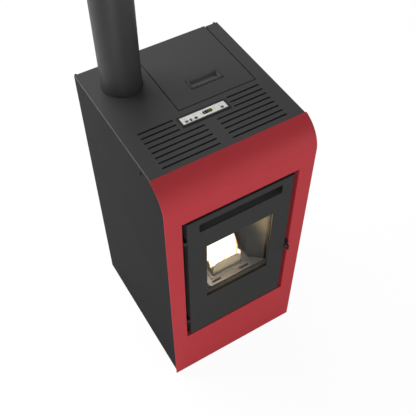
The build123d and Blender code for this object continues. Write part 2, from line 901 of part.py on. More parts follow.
def pot_support():
    """Slotted plate, and a step on a skirt that stands on the floor and carries the pot."""
    half = support_width / 2
    plate_z = (support_top - support_sheet, support_top)
    tongue = block(both(half), (support_front, support_step_front), plate_z)
    tongue = fillet(tongue.edges().filter_by(Axis.Z).group_by(Axis.Y)[0], support_corner)
    wings = []
    for side in (-1, 1):
        spot = Pos(side * ash_slot_place, behind(ash_slot_depth), plate_z[0])
        tongue -= extrude(spot * SlotOverall(ash_slot_width, ash_slot_height), support_sheet)
        wing_x = sorted((side * support_step_width / 2, side * half))
        wings.append(block(wing_x, (support_step_front, support_back), plate_z))
    skirt_back = support_back - support_skirt
    step = (both(support_step_width / 2), (support_step_front, support_back))
    hollow = (both(support_step_width / 2 - support_skirt), (support_step_front + support_skirt, skirt_back))
    seat = (both(pot_width / 2 + pot_seat_gap), (pot_front - pot_seat_gap, pot_back + pot_seat_gap))
    skirt = ring_walls(step, hollow, (firebox_floor, support_top))
    igniter_hole = along_y(0, (skirt_back, support_back), igniter_height, igniter_radius + tube_gap)
    skirt[-1] -= igniter_hole
    top = ring_walls(step, seat, (support_top, support_top + support_step))
    return Compound(children=[tongue] + wings + skirt + top)


def burn_pot():
    """Cup with a rounded front wall, a rim that hangs in the support and a holed bottom."""
    half = pot_width / 2
    depth = (pot_front, pot_back)
    cup = block(both(half), depth, (pot_bottom, pot_top))
    cup = fillet(cup.edges().filter_by(Axis.Y).group_by(Axis.Z)[-1], pot_corner)
    seat = support_top + support_step
    rim_depth = (pot_front - pot_rim, pot_back + pot_rim)
    cup += block(both(half + pot_rim), rim_depth, (seat, seat + pot_rim_thickness))
    inner = (pot_front + pot_wall, pot_back - pot_wall)
    cup -= block(both(half - pot_wall), inner, (pot_bottom + pot_wall, pot_top + 1))
    columns = int((pot_width - 2 * pot_wall) / pot_hole_pitch / 2) - 1
    for column in range(-columns, columns + 1):
        for row in range(-2, 3):
            hole_depth = (pot_front + pot_back) / 2 + row * pot_hole_pitch
            hole_z = (pot_bottom - 1, pot_bottom + pot_wall + 1)
            cup -= upright(column * pot_hole_pitch, hole_depth, hole_z, pot_hole_radius)
    return cup - along_y(0, (pot_back - pot_wall - 1, pot_back + 1), igniter_height, igniter_radius)


def ash_drawer():
    """Sheet tray on the ash box's floor, with a bent pull at the front."""
    half = drawer_width / 2
    low = ash_box_bottom + firebox_wall
    z = (low, low + drawer_height)
    tray = block(both(half), (drawer_front, drawer_back), z)
    inner_depth = (drawer_front + drawer_sheet, drawer_back - drawer_sheet)
    tray -= block(both(half - drawer_sheet), inner_depth, (low + drawer_sheet, z[1] + 1))
    pull_z = low + drawer_height * 0.7
    reach = (drawer_front - drawer_pull_reach, drawer_front)
    lip = (reach[0], reach[0] + drawer_sheet)
    pull_x = both(drawer_pull_width / 2)
    tray += block(pull_x, reach, (pull_z, pull_z + drawer_sheet))
    return tray + block(pull_x, lip, (pull_z - drawer_pull_reach, pull_z))


def igniter():
    """Cartridge heater that ends just behind the pot's air hole."""
    depth = (pot_back + pot_seat_gap, firebox_back + igniter_tail)
    return along_y(0, depth, igniter_height, igniter_radius)


# ---------------------------------------------------------------- warm air


def exchanger_tubes():
    """Row of tubes that carry room air through the hot gases."""
    depth = (frame_depth, firebox_back + firebox_wall)
    tubes = []
    for x in tube_places:
        tube = along_y(x, depth, tube_height, tube_radius)
        tubes.append(tube - along_y(x, (depth[0] - 1, depth[1] + 1), tube_height, tube_radius - tube_wall))
    return Compound(children=tubes)


def air_plenum():
    """Box behind the tubes with a duct down to the room-air blower."""
    outer_depth = (firebox_back, plenum_back)
    inner_depth = (firebox_back - 1, plenum_back - duct_wall)
    half = plenum_width / 2
    box = block(both(half), outer_depth, (plenum_bottom, plenum_top))
    box += block((duct_left, duct_right), outer_depth, (blower_neck_top, plenum_bottom))
    inside = block(both(half - duct_wall), inner_depth, (plenum_bottom + duct_wall, plenum_top - duct_wall))
    duct_x = (duct_left + duct_wall, duct_right - duct_wall)
    duct_depth = (firebox_back + duct_wall, plenum_back - duct_wall)
    inside += block(duct_x, duct_depth, (blower_neck_top - 1, plenum_bottom + 2 * duct_wall))
    return box - inside


def convection_housing():
    """Round blower case on a stand, with a neck up to the duct."""
    x = (blower_left, blower_left + blower_width)
    inner_x = (x[0] + duct_wall, x[1] - duct_wall)
    neck_x = (duct_left, duct_right)
    case = along_x(x, blower_center_depth, blower_center_height, blower_radius)
    neck_z = (blower_center_height, blower_neck_top)
    case += block(neck_x, (firebox_back, plenum_back), neck_z)
    low = ground_gap + casing_sheet
    stand_depth = (blower_center_depth - stand_width / 2, blower_center_depth + stand_width / 2)
    case += block(x, stand_depth, (low, blower_center_height))
    hollow = along_x(inner_x, blower_center_depth, blower_center_height, blower_radius - duct_wall)
    neck_inner_x = (neck_x[0] + duct_wall, neck_x[1] - duct_wall)
    neck_inner_depth = (firebox_back + duct_wall, plenum_back - duct_wall)
    hollow += block(neck_inner_x, neck_inner_depth, (blower_center_height, blower_neck_top + 1))
    inlet = (x[0] - 1, inner_x[0] + 1)
    case -= along_x(inlet, blower_center_depth, blower_center_height, blower_inlet_radius)
    shaft = (inner_x[1] - 1, x[1] + 1)
    case -= along_x(shaft, blower_center_depth, blower_center_height, shaft_radius + 1)
    return case - hollow


def convection_motor():
    """Motor on the case's right side, with its shaft into the wheel."""
    left = blower_left + blower_width
    body = along_x((left, left + motor_length), blower_center_depth, blower_center_height, motor_radius)
    shaft = (wheel_x, left)
    return body + along_x(shaft, blower_center_depth, blower_center_height, shaft_radius)


def wheel(radius, width, blades, bore):
    """Fan wheel about Z: back disc, hub and straight blades, standing on z = 0."""
    disc = 2.0
    hub = 3 * shaft_radius
    part = Pos(0, 0, disc / 2) * Cylinder(radius, disc)
    part += Pos(0, 0, width / 2) * Cylinder(hub, width)
    length = radius * 0.36
    for number in range(blades):
        place = Rot(0, 0, 360 * number / blades) * Pos(radius - length / 2 - 1, 0, width / 2)
        part += place * Box(length, 1.6, width)
    return part - Pos(0, 0, width / 2) * Cylinder(bore, width)


def convection_impeller():
    """Squirrel-cage wheel on the blower motor's shaft."""
    part = wheel(blower_wheel_radius, blower_wheel_width, blower_blades, shaft_radius + shaft_gap)
    right = blower_left + blower_width - duct_wall - 3
    return Pos(right, behind(blower_center_depth), blower_center_height) * Rot(0, -90, 0) * part


# ---------------------------------------------------------------- smoke


def smoke_duct():
    """Flat duct down the firebox's left side and back to the smoke fan."""
    right = -firebox_width / 2
    x = (right - smoke_width, right)
    inner_x = (x[0] + duct_wall, x[1] - duct_wall)
    drop_depth = (smoke_front, smoke_front + smoke_depth)
    duct = block(x, drop_depth, (smoke_bottom, smoke_top))
    duct += block(x, (smoke_front, exhaust_front), (smoke_bottom, smoke_run_top))
    inner_drop = (drop_depth[0] + duct_wall, drop_depth[1] - duct_wall)
    inside = block(inner_x, inner_drop, (smoke_bottom + duct_wall, smoke_top - duct_wall))
    run_depth = (drop_depth[0] + duct_wall, exhaust_front - duct_wall)
    inside += block(inner_x, run_depth, (smoke_bottom + duct_wall, smoke_run_top - duct_wall))
    mouth = (smoke_top - duct_wall - smoke_mouth, smoke_top - duct_wall)
    inside += block((x[1] - 2 * duct_wall, x[1] + 1), inner_drop, mouth)
    inlet_radius = smoke_width / 2 - 2 * duct_wall
    end = (exhaust_front - 2 * duct_wall, exhaust_front + 1)
    inside += along_y(exhaust_x, end, exhaust_height, inlet_radius)
    return duct - inside


def exhaust_housing():
    """Cast case of the smoke fan, on a stand, with a neck up to the riser."""
    depth = (exhaust_front, exhaust_back)
    inner_depth = (depth[0] + exhaust_wall, depth[1] - exhaust_wall)
    case = along_y(exhaust_x, depth, exhaust_height, exhaust_radius)
    neck_x = (flue_x - riser_radius, flue_x + riser_radius)
    neck_z = (exhaust_height, exhaust_neck_top)
    case += block(neck_x, depth, neck_z)
    stand_x = (exhaust_x - stand_width / 2, exhaust_x + stand_width / 2)
    case += block(stand_x, depth, (ground_gap + casing_sheet, exhaust_height))
    hollow = along_y(exhaust_x, inner_depth, exhaust_height, exhaust_radius - exhaust_wall)
    inner_x = (neck_x[0] + exhaust_wall, neck_x[1] - exhaust_wall)
    hollow += block(inner_x, inner_depth, (exhaust_height, exhaust_neck_top - exhaust_wall))
    throat = (exhaust_neck_top - 2 * exhaust_wall, exhaust_neck_top + 1)
    hollow += upright(flue_x, flue_depth, throat, riser_radius - riser_wall - 1)
    inlet = (depth[0] - 1, inner_depth[0] + 1)
    hollow += along_y(exhaust_x, inlet, exhaust_height, smoke_width / 2 - 2 * duct_wall)
    shaft = (inner_depth[1] - 1, depth[1] + 1)
    return case - hollow - along_y(exhaust_x, shaft, exhaust_height, shaft_radius + 1)


def exhaust_motor():
    """Motor behind the smoke fan's case, with its shaft into the wheel."""
    body = along_y(exhaust_x, (exhaust_back, exhaust_back + motor_length), exhaust_height, motor_radius)
    return body + along_y(exhaust_x, (flue_depth, exhaust_back), exhaust_height, shaft_radius)


def exhaust_impeller():
    """Radial wheel on the smoke fan's shaft."""
    part = wheel(exhaust_wheel_radius, exhaust_wheel_width, exhaust_blades, shaft_radius + shaft_gap)
    back = exhaust_back - exhaust_wall - 3
    return Pos(exhaust_x, behind(back), exhaust_height) * Rot(90, 0, 0) * part


def flue_riser():
    """Inner smoke pipe from the fan to the collar that carries the flue pipe."""
    z = (exhaust_neck_top, riser_top)
    pipe = upright(flue_x, flue_depth, z, riser_radius)
    pipe += upright(flue_x, flue_depth, (riser_top - riser_collar, riser_top), flue_radius + flue_wall)
    return pipe - upright(flue_x, flue_depth, (z[0] - 1, z[1] + 1), riser_radius - riser_wall)


def flue_pipe():
    """Enamelled pipe section that stands on the riser's collar and passes the top plate."""
    z = (riser_top, casing_height + flue_length)
    pipe = upright(flue_x, flue_depth, z, flue_radius)
    return pipe - upright(flue_x, flue_depth, (z[0] - 1, z[1] + 1), flue_radius - flue_wall)


# ---------------------------------------------------------------- pellets


def on_auger(distance):
    """Location on the auger's axis, measured up from its foot, with Z along the axis."""
    y = behind(auger_foot_depth - distance * cos(radians(auger_slope)))
    z = auger_foot_height + distance * sin(radians(auger_slope))
    return Pos(0, y, z) * Rot(90 - auger_slope, 0, 0)


def auger_rod(low, high, radius):
    """Cylinder on the auger's axis between two distances from its foot."""
    return on_auger((low + high) / 2) * Cylinder(radius, high - low)


def throat_inside():
    """Clear space of the straight neck under the hopper."""
    half = hopper_throat_width / 2 - hopper_wall
    depth = (hopper_throat_front + hopper_wall, hopper_throat_back - hopper_wall)
    return block(both(half), depth, (hopper_throat_bottom, hopper_throat_height))


def set_in(limits):
    """Rectangle of x and depth limits, set in by the hopper's wall."""
    return tuple((low + hopper_wall, high - hopper_wall) for low, high in limits)


def funnel_walls(lower, upper):
    """Four mitred plates that taper from the upper rectangle to the lower one."""

    def corners(limits):
        """Corners of a rectangle, in order round it."""
        x, depth = limits
        return [(x[0], depth[0]), (x[1], depth[0]), (x[1], depth[1]), (x[0], depth[1])]

    plates = []
    for side in range(4):
        following = (side + 1) % 4
        ends = []
        for limits, height in ((lower, hopper_throat_height), (upper, hopper_shoulder)):
            outside = corners(limits)
            inside = corners(set_in(limits))
            points = [outside[side], outside[following], inside[following], inside[side]]
            end = make_face(Polyline(*points, close=True))
            ends.append((Pos(0, behind(0), height) * end).face())
        plates.append(loft(ends, ruled=True))
    return plates


def hopper():
    """Hopper of welded plates: rim, straight bin, funnel and a neck cut to sit on the auger tube."""
    bin_limits = ((hopper_left, hopper_right), (hopper_front, hopper_back))
    rim = ((lid_left - lid_gap, lid_right + lid_gap), (lid_front - lid_gap, rear - casing_sheet))
    neck = (both(hopper_throat_width / 2), (hopper_throat_front, hopper_throat_back))
    rim_low = hopper_rim_height - hopper_rim_sheet
    plates = ring_walls(rim, set_in(bin_limits), (rim_low, hopper_rim_height))
    plates += ring_walls(bin_limits, set_in(bin_limits), (hopper_shoulder, rim_low))
    plates += funnel_walls(neck, bin_limits)
    tube = auger_rod(-50, auger_length, auger_tube_radius)
    for wall in ring_walls(neck, set_in(neck), (hopper_throat_bottom, hopper_throat_height)):
        plates.append(wall - tube)
    return Compound(children=plates)


def hopper_grille():
    """Finger guard of bars across the bin."""
    half_gap = sheet_gap
    x = (hopper_left + hopper_wall, hopper_right - hopper_wall)
    depth = (hopper_front + hopper_wall, hopper_back - hopper_wall)
    z = (grille_height, grille_height + grille_bar)
    guard = block(x, (depth[0] + half_gap, depth[0] + half_gap + grille_bar), z)
    guard += block(x, (depth[1] - half_gap - grille_bar, depth[1] - half_gap), z)
    count = int((x[1] - x[0]) / grille_pitch)
    start = (x[0] + x[1] - (count - 1) * grille_pitch) / 2
    for number in range(count):
        middle = start + number * grille_pitch
        bar = (middle - grille_bar / 2, middle + grille_bar / 2)
        guard += block(bar, (depth[0] + half_gap, depth[1] - half_gap), z)
    return guard


def chute_solid(wall):
    """Sloping block from under the auger's end into the chamber, set in by a wall."""
    half = chute_width / 2 - wall
    slope = radians(chute_slope)
    along = (cos(slope), sin(slope))
    across = (-sin(slope), cos(slope))
    thick = chute_depth / 2 - wall
    low = -1 if wall else 0

    def corner(distance, offset):
        return (
            chute_mouth_depth + distance * along[0] + offset * across[0],
            chute_mouth_height + distance * along[1] + offset * across[1],
        )

    points = [
        corner(low, -thick),
        corner(chute_length, -thick),
        corner(chute_length, thick),
        corner(low, thick),
    ]
    return side_section(Polyline(*points, close=True), both(half))


def pellet_chute():
    """Square drop chute from the auger's upper end through the firebox's back."""
    body = chute_solid(0) - chute_solid(chute_wall)
    end = auger_rod(-50, auger_length, auger_tube_radius)
    above = auger_rod(-50, 2 * auger_length, auger_tube_radius * 3)
    shifted = Pos(0, 0, auger_tube_radius * 3) * above
    return (body - end - shifted).solids().sort_by(SortBy.VOLUME)[-1]


def auger_tube():
    """Feed tube with a top inlet under the hopper and an outlet over the chute."""
    tube = auger_rod(0, auger_length, auger_tube_radius)
    tube -= auger_rod(-1, auger_length - auger_tube_wall, auger_tube_radius - auger_tube_wall)
    upper_half = Pos(0, 0, 2 * auger_tube_radius) * auger_rod(0, auger_length, 2 * auger_tube_radius)
    tube -= throat_inside() & upper_half
    lower_half = Pos(0, 0, -2 * auger_tube_radius) * auger_rod(0, auger_length, 2 * auger_tube_radius)
    return tube - (chute_solid(chute_wall) & lower_half)


def auger_screw():
    """Shaft with one continuous flight, turned by the gear motor."""
    low = screw_end_gap
    high = auger_length - auger_tube_wall - screw_end_gap
    length = high - low
    land = Pos((screw_shaft_radius + screw_radius) / 2 - 1, 0) * Rectangle(
        screw_radius - screw_shaft_radius + 2, screw_land
    )
    flight = Solid.extrude_linear_with_rotation(
        land.face(), (0, 0, 0), (0, 0, length), 360 * length / screw_pitch
    )
    screw = Pos(0, 0, length / 2) * Cylinder(screw_shaft_radius, length) + flight
    screw = on_auger(low) * screw
    return screw - auger_rod(low - 1, drive_length, shaft_radius + shaft_gap)


def auger_motor():
    """Gear motor at the auger's foot, with its shaft into the screw."""
    box = on_auger(-gearbox_length / 2) * Box(gearbox_size, gearbox_size, gearbox_length)
    low = -gearbox_length - gear_motor_length
    body = box + auger_rod(low, -gearbox_length, gear_motor_radius)
    return body + auger_rod(0, drive_length - 1, shaft_radius)


# ---------------------------------------------------------------- lid


def hopper_lid():
    """Pan-shaped lid, flush with the top, with barrels that turn on the rear pins."""
    depth = (lid_front, rear + lid_overhang)
    x = (lid_left, lid_right)
    lid = block(x, depth, (skirt_bottom, casing_height))
    lid = fillet(lid.faces().sort_by(Axis.Z)[-1].edges(), lid_corner_round)
    inner_x = (x[0] + casing_sheet, x[1] - casing_sheet)
    inner_depth = (depth[0] + casing_sheet, depth[1] - casing_sheet)
    lid -= block(inner_x, inner_depth, (skirt_bottom - 1, top_underside))
    cup_x, cup_depth = pull_cup()
    hole_x = (cup_x[0] - sheet_gap, cup_x[1] + sheet_gap)
    hole_depth = (cup_depth[0] - sheet_gap, cup_depth[1] + sheet_gap)
    lid -= block(hole_x, hole_depth, (top_underside - 1, casing_height + 1))
    for place in lid_hinge_places:
        limits = (place - lid_barrel_length / 2, place + lid_barrel_length / 2)
        lid += along_x(limits, lid_axis_depth, lid_axis_height, lid_barrel_radius)
        web = (rear + lid_overhang - casing_sheet, lid_axis_depth)
        lid += block(limits, web, (lid_axis_height - 1, lid_axis_height + lid_barrel_radius))
        lid -= along_x(limits, lid_axis_depth, lid_axis_height, lid_pin_radius + lid_pin_gap)
    return lid


def pull_cup():
    """Outer limits of the finger pull's cup, in x and depth."""
    inset = pull_border - pull_wall
    return (pull_left + inset, pull_right - inset), (pull_front + inset, pull_back - inset)


def lid_pull():
    """Moulded finger pull: raised rim round a recessed cup."""
    x = (pull_left, pull_right)
    depth = (pull_front, pull_back)
    rim = block(x, depth, (casing_height, casing_height + pull_rim))
    rim = fillet(rim.edges().filter_by(Axis.Z), pull_border)
    rim = fillet(rim.faces().sort_by(Axis.Z)[-1].edges(), pull_rim * 0.7)
    cup_x, cup_depth = pull_cup()
    part = rim + block(cup_x, cup_depth, (casing_height - pull_depth - pull_wall, casing_height))
    hollow_x = (cup_x[0] + pull_wall, cup_x[1] - pull_wall)
    hollow_depth = (cup_depth[0] + pull_wall, cup_depth[1] - pull_wall)
    return part - block(hollow_x, hollow_depth, (casing_height - pull_depth, casing_height + pull_rim + 1))


def lid_hinge_leaves():
    """Two leaves on the rear panel, each with end barrels and a pin."""
    leaves = []
    strap_front = rear + lid_overhang + 1
    strap_back = strap_front + casing_sheet
    foot_top = hopper_rim_height - 2 * hopper_rim_sheet
    for place in lid_hinge_places:
        outer = lid_barrel_length / 2 + lid_barrel_gap + lid_leaf_length
        foot_x = (place - outer, place + outer)
        leaf = block(foot_x, (rear, strap_back), (foot_top - lid_leaf_drop, foot_top))
        for side in (-1, 1):
            near = lid_barrel_length / 2 + lid_barrel_gap
            x = sorted((place + side * near, place + side * outer))
            leaf += block(x, (strap_front, strap_back), (foot_top - 1, lid_axis_height))
            leaf += along_x(x, lid_axis_depth, lid_axis_height, lid_barrel_radius)
        leaf += along_x(foot_x, lid_axis_depth, lid_axis_height, lid_pin_radius)
        leaves.append(leaf)
    return Compound(children=leaves)


# ---------------------------------------------------------------- controls


def control_limits(width, height):
    """Limits in x and depth of a rectangle centred on the control strip."""
    x = (control_x - width / 2, control_x + width / 2)
    return x, (control_depth - height / 2, control_depth + height / 2)


def control_bezel():
    """Black frame that drops into the top plate and holds the label on a ledge."""
    x, depth = control_limits(bezel_width, bezel_height)
    rim = block(x, depth, (casing_height, casing_height + bezel_rise))
    rim = fillet(rim.faces().sort_by(Axis.Z)[-1].edges(), bezel_rise * 0.5)
    skirt_x, skirt_depth = control_limits(bezel_skirt_width, bezel_skirt_height)
    low = casing_height - bezel_skirt_depth
    part = rim + block(skirt_x, skirt_depth, (low, casing_height))
    window_x, window_depth = control_limits(label_width + 2 * sheet_gap, label_height + 2 * sheet_gap)
    seat = casing_height + bezel_rise - label_sink - label_thickness
    part -= block(window_x, window_depth, (seat, casing_height + bezel_rise + 1))
    well_x, well_depth = control_limits(label_width - 2 * label_ledge, label_height - 2 * label_ledge)
    return part - block(well_x, well_depth, (low + casing_sheet, seat + 1))


def label_top():
    """Height of the label's face."""
    return casing_height + bezel_rise - label_sink


def control_label():
    """Silver strip with holes for the keys and the display."""
    x, depth = control_limits(label_width, label_height)
    strip = block(x, depth, (label_top() - label_thickness, label_top()))
    hole_z = (label_top() - label_thickness - 1, label_top() + 1)
    for place in key_places:
        strip -= upright(control_x + place, key_depth, hole_z, key_radius + key_gap)
    half = display_width / 2 + key_gap
    display_limits = (control_x + display_x - half, control_x + display_x + half)
    half_depth = display_height / 2 + key_gap
    return strip - block(display_limits, (control_depth - half_depth, control_depth + half_depth), hole_z)


def display_window():
    """Dark display block in its hole, standing on the bezel's tray."""
    x = (control_x + display_x - display_width / 2, control_x + display_x + display_width / 2)
    depth = (control_depth - display_height / 2, control_depth + display_height / 2)
    low = casing_height - bezel_skirt_depth + casing_sheet
    return block(x, depth, (low, label_top() + display_rise))


def key(place):
    """Round push key with a hidden flange under the label."""
    x = control_x + place
    face = label_top() + key_rise
    under = label_top() - label_thickness - sheet_gap
    stem_low = casing_height - bezel_skirt_depth + casing_sheet + key_travel + sheet_gap
    cap = upright(x, key_depth, (stem_low, face), key_radius)
    cap = fillet(cap.faces().sort_by(Axis.Z)[-1].edges(), key_rise * 0.6)
    flange = (under - key_flange_thickness, under)
    return cap + upright(x, key_depth, flange, key_radius + key_flange)


# ---------------------------------------------------------------- rear fittings


def air_intake():
    """Combustion air pipe to the ash box, with a flange and a hose spigot behind the stove."""
    face = rear + casing_sheet
    end = rear + intake_reach
    pipe = along_y(0, (firebox_back, rear), intake_height, intake_pipe_radius)
    pipe += along_y(0, (rear, face), intake_height, intake_radius + intake_collar)
    pipe += along_y(0, (face, end), intake_height, intake_radius)
    bore = (firebox_back - 1, end + 1)
    return pipe - along_y(0, bore, intake_height, intake_pipe_radius - intake_wall)


def power_inlet():
    """Mains inlet module: lip, socket with three pins, and a bay for the rocker."""
    half = inlet_width / 2
    x = (inlet_x - half, inlet_x + half)
    z = (inlet_height - inlet_tall / 2, inlet_height + inlet_tall / 2)
    lip_x = (x[0] - inlet_lip, x[1] + inlet_lip)
    lip_z = (z[0] - inlet_lip, z[1] + inlet_lip)
    module = block(x, (rear - inlet_depth, rear), z)
    module += block(lip_x, (rear, rear + inlet_lip_thickness), lip_z)
    face = rear + inlet_lip_thickness
    socket_middle = z[0] + inlet_tall * 0.3
    socket_x = (inlet_x - socket_width / 2, inlet_x + socket_width / 2)
    socket_z = (socket_middle - socket_tall / 2, socket_middle + socket_tall / 2)
    module -= block(socket_x, (face - socket_depth, face + 1), socket_z)
    for place in (-7, 0, 7):
        drop = 0 if place else 3
        pin_x = (inlet_x + place - socket_pin / 2, inlet_x + place + socket_pin / 2)
        pin_z = (socket_middle - socket_pin - drop, socket_middle + socket_pin - drop)
        module += block(pin_x, (face - socket_depth, face - 4), pin_z)
    bay_x = (inlet_x - rocker_width / 2 - 0.5, inlet_x + rocker_width / 2 + 0.5)
    bay_z = (rocker_middle() - rocker_tall / 2 - 1.5, rocker_middle() + rocker_tall / 2 + 1.5)
    module -= block(bay_x, (face - rocker_thickness - 5, face + 1), bay_z)
    pivot = (bay_x[0] - 1, bay_x[1] + 1)
    return module + along_x(pivot, rocker_axis_depth(), rocker_middle(), rocker_pivot_radius)


def rocker_middle():
    """Height of the rocker's pivot."""
    return inlet_height + inlet_tall * 0.24


def rocker_axis_depth():
    """Depth of the rocker's pivot."""
    return rear + inlet_lip_thickness - rocker_thickness / 2


def power_rocker():
    """Rocker with two angled faces; the lower half is pressed in at rest."""
    face = rear + inlet_lip_thickness + rocker_stand
    low = face - rocker_thickness
    middle = rocker_middle()
    half = rocker_tall / 2
    dip = half * sin(radians(rocker_tilt))
    path = Polyline(
        (low, middle - half * 0.6),
        (face - dip, middle - half),
        (face, middle),
        (face, middle + half),
        (low, middle + half * 0.6),
        close=True,
    )
    rocker = side_section(path, (inlet_x - rocker_width / 2, inlet_x + rocker_width / 2))
    hole = (inlet_x - rocker_width, inlet_x + rocker_width)
    return rocker - along_x(hole, rocker_axis_depth(), middle, rocker_pivot_radius + shaft_gap)


def control_board():
    """Circuit board on four posts on the right side panel, with its larger parts."""
    right = inner_half
    face = right - board_standoff
    x = (face - board_thickness, face)
    depth = (board_depth, board_depth + board_width)
    z = (board_bottom, board_bottom + board_tall)
    board = block(x, depth, z)
    for post_depth in (depth[0] + board_post_inset, depth[1] - board_post_inset):
        for post_height in (z[0] + board_post_inset, z[1] - board_post_inset):
            board += along_x((face, right), post_depth, post_height, board_post_radius)
    for along, up, wide, tall, rise in board_parts:
        middle = depth[0] + along
        low = z[0] + up
        board += block((x[0] - rise, x[0]), (middle - wide / 2, middle + wide / 2), (low, low + tall))
    return board


def build_all():
    """Every sub-part by name."""
    parts = {
        "base_plate": base_plate(),
        "rear_panel": rear_panel(),
        "side_panel_left": side_panel(-1),
        "side_panel_right": side_panel(1),
        "top_plate": top_plate(),
        "front_panel": front_panel(),
        "front_frame": front_frame(),
        "casing_screws": casing_screws(),
        "door_panel": door_panel(),
        "door_frame": door_frame(),
        "door_seal": door_seal(),
        "door_glass": door_glass(),
        "glass_seal": glass_seal(),
        "glass_clips": glass_clips(),
        "door_hinge_brackets": door_hinge_brackets(),
        "latch_lever": latch_lever(),
        "latch_keeper": latch_keeper(),
        "firebox": firebox(),
        "side_liners": side_liners(),
        "back_liner": back_liner(),
        "baffle": baffle(),
        "pot_support": pot_support(),
        "burn_pot": burn_pot(),
        "ash_drawer": ash_drawer(),
        "igniter": igniter(),
        "exchanger_tubes": exchanger_tubes(),
        "air_plenum": air_plenum(),
        "convection_housing": convection_housing(),
        "convection_motor": convection_motor(),
        "convection_impeller": convection_impeller(),
        "smoke_duct": smoke_duct(),
        "exhaust_housing": exhaust_housing(),
        "exhaust_motor": exhaust_motor(),
        "exhaust_impeller": exhaust_impeller(),
        "flue_riser": flue_riser(),
        "flue_pipe": flue_pipe(),
        "hopper": hopper(),
        "hopper_grille": hopper_grille(),
        "pellet_chute": pellet_chute(),
        "auger_tube": auger_tube(),
        "auger_screw": auger_screw(),
        "auger_motor": auger_motor(),
        "hopper_lid": hopper_lid(),
        "lid_pull": lid_pull(),
        "lid_hinge_leaves": lid_hinge_leaves(),
        "control_bezel": control_bezel(),
        "control_label": control_label(),
        "display_window": display_window(),
        "air_intake": air_intake(),
        "power_inlet": power_inlet(),
        "power_rocker": power_rocker(),
        "control_board": control_board(),
    }
    for number, place in enumerate(key_places, start=1):
        parts[f"key_{number}"] = key(place)
    names = ("foot_front_left", "foot_front_right", "foot_rear_left", "foot_rear_right")
    for name, (x, depth) in zip(names, foot_places()):
        parts[name] = foot(x, depth)
    return parts


os.makedirs("parts", exist_ok=True)
for name, part in build_all().items():
    export_step(part, f"parts/{name}.step")
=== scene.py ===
"""Looks of the pellet stove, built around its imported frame."""

import json
import logging
import math
import random
from collections.abc import Callable
from dataclasses import dataclass, field
from enum import Enum
from functools import reduce

import bmesh
import bpy
from mathutils import Matrix, Vector

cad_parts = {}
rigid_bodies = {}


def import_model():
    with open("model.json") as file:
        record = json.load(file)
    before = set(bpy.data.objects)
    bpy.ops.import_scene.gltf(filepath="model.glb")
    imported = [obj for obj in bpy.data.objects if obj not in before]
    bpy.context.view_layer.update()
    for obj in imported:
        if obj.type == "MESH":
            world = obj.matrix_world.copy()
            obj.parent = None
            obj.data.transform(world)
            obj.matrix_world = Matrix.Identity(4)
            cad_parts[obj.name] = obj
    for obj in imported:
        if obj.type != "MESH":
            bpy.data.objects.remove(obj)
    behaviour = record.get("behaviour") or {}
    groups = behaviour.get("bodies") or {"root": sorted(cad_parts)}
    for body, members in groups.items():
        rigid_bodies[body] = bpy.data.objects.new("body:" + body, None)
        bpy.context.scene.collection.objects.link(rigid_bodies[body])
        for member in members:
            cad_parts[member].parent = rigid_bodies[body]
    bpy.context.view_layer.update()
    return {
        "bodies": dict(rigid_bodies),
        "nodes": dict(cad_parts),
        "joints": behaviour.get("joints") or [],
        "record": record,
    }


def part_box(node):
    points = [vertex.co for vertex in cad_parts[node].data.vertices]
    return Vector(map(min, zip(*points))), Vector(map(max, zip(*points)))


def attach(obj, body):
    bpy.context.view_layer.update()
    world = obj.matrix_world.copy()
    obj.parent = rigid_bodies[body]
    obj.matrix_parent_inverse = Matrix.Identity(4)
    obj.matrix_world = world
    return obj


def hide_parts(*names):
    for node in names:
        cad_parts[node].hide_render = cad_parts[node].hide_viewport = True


log = logging.getLogger("pellet_stove")
MM = 0.001
HALF_DEPTH = 0.2705
REAR = 541.0
SIDES = (-1, 1)
Colour = tuple[float, float, float]
Point = tuple[float, float, float]
Pair = tuple[float, float]
Outline = list[Pair] | tuple[Pair, ...]
Shape = bmesh.types.BMesh
Socket = bpy.types.NodeSocket
Sockets = bpy.types.bpy_prop_collection


def at(x: float, depth: float, height: float) -> Vector:
    """Turns a place in millimetres, with its depth behind the front, into the frame's metres.

    Args:
        x: Distance to the right of the middle.
        depth: Distance behind the front panel's face.
        height: Distance above the floor.

    Returns:
        The point in the frame.
    """
    return Vector((x * MM, depth * MM - HALF_DEPTH, height * MM))


# ------------------------------------------------------------------ shader trees


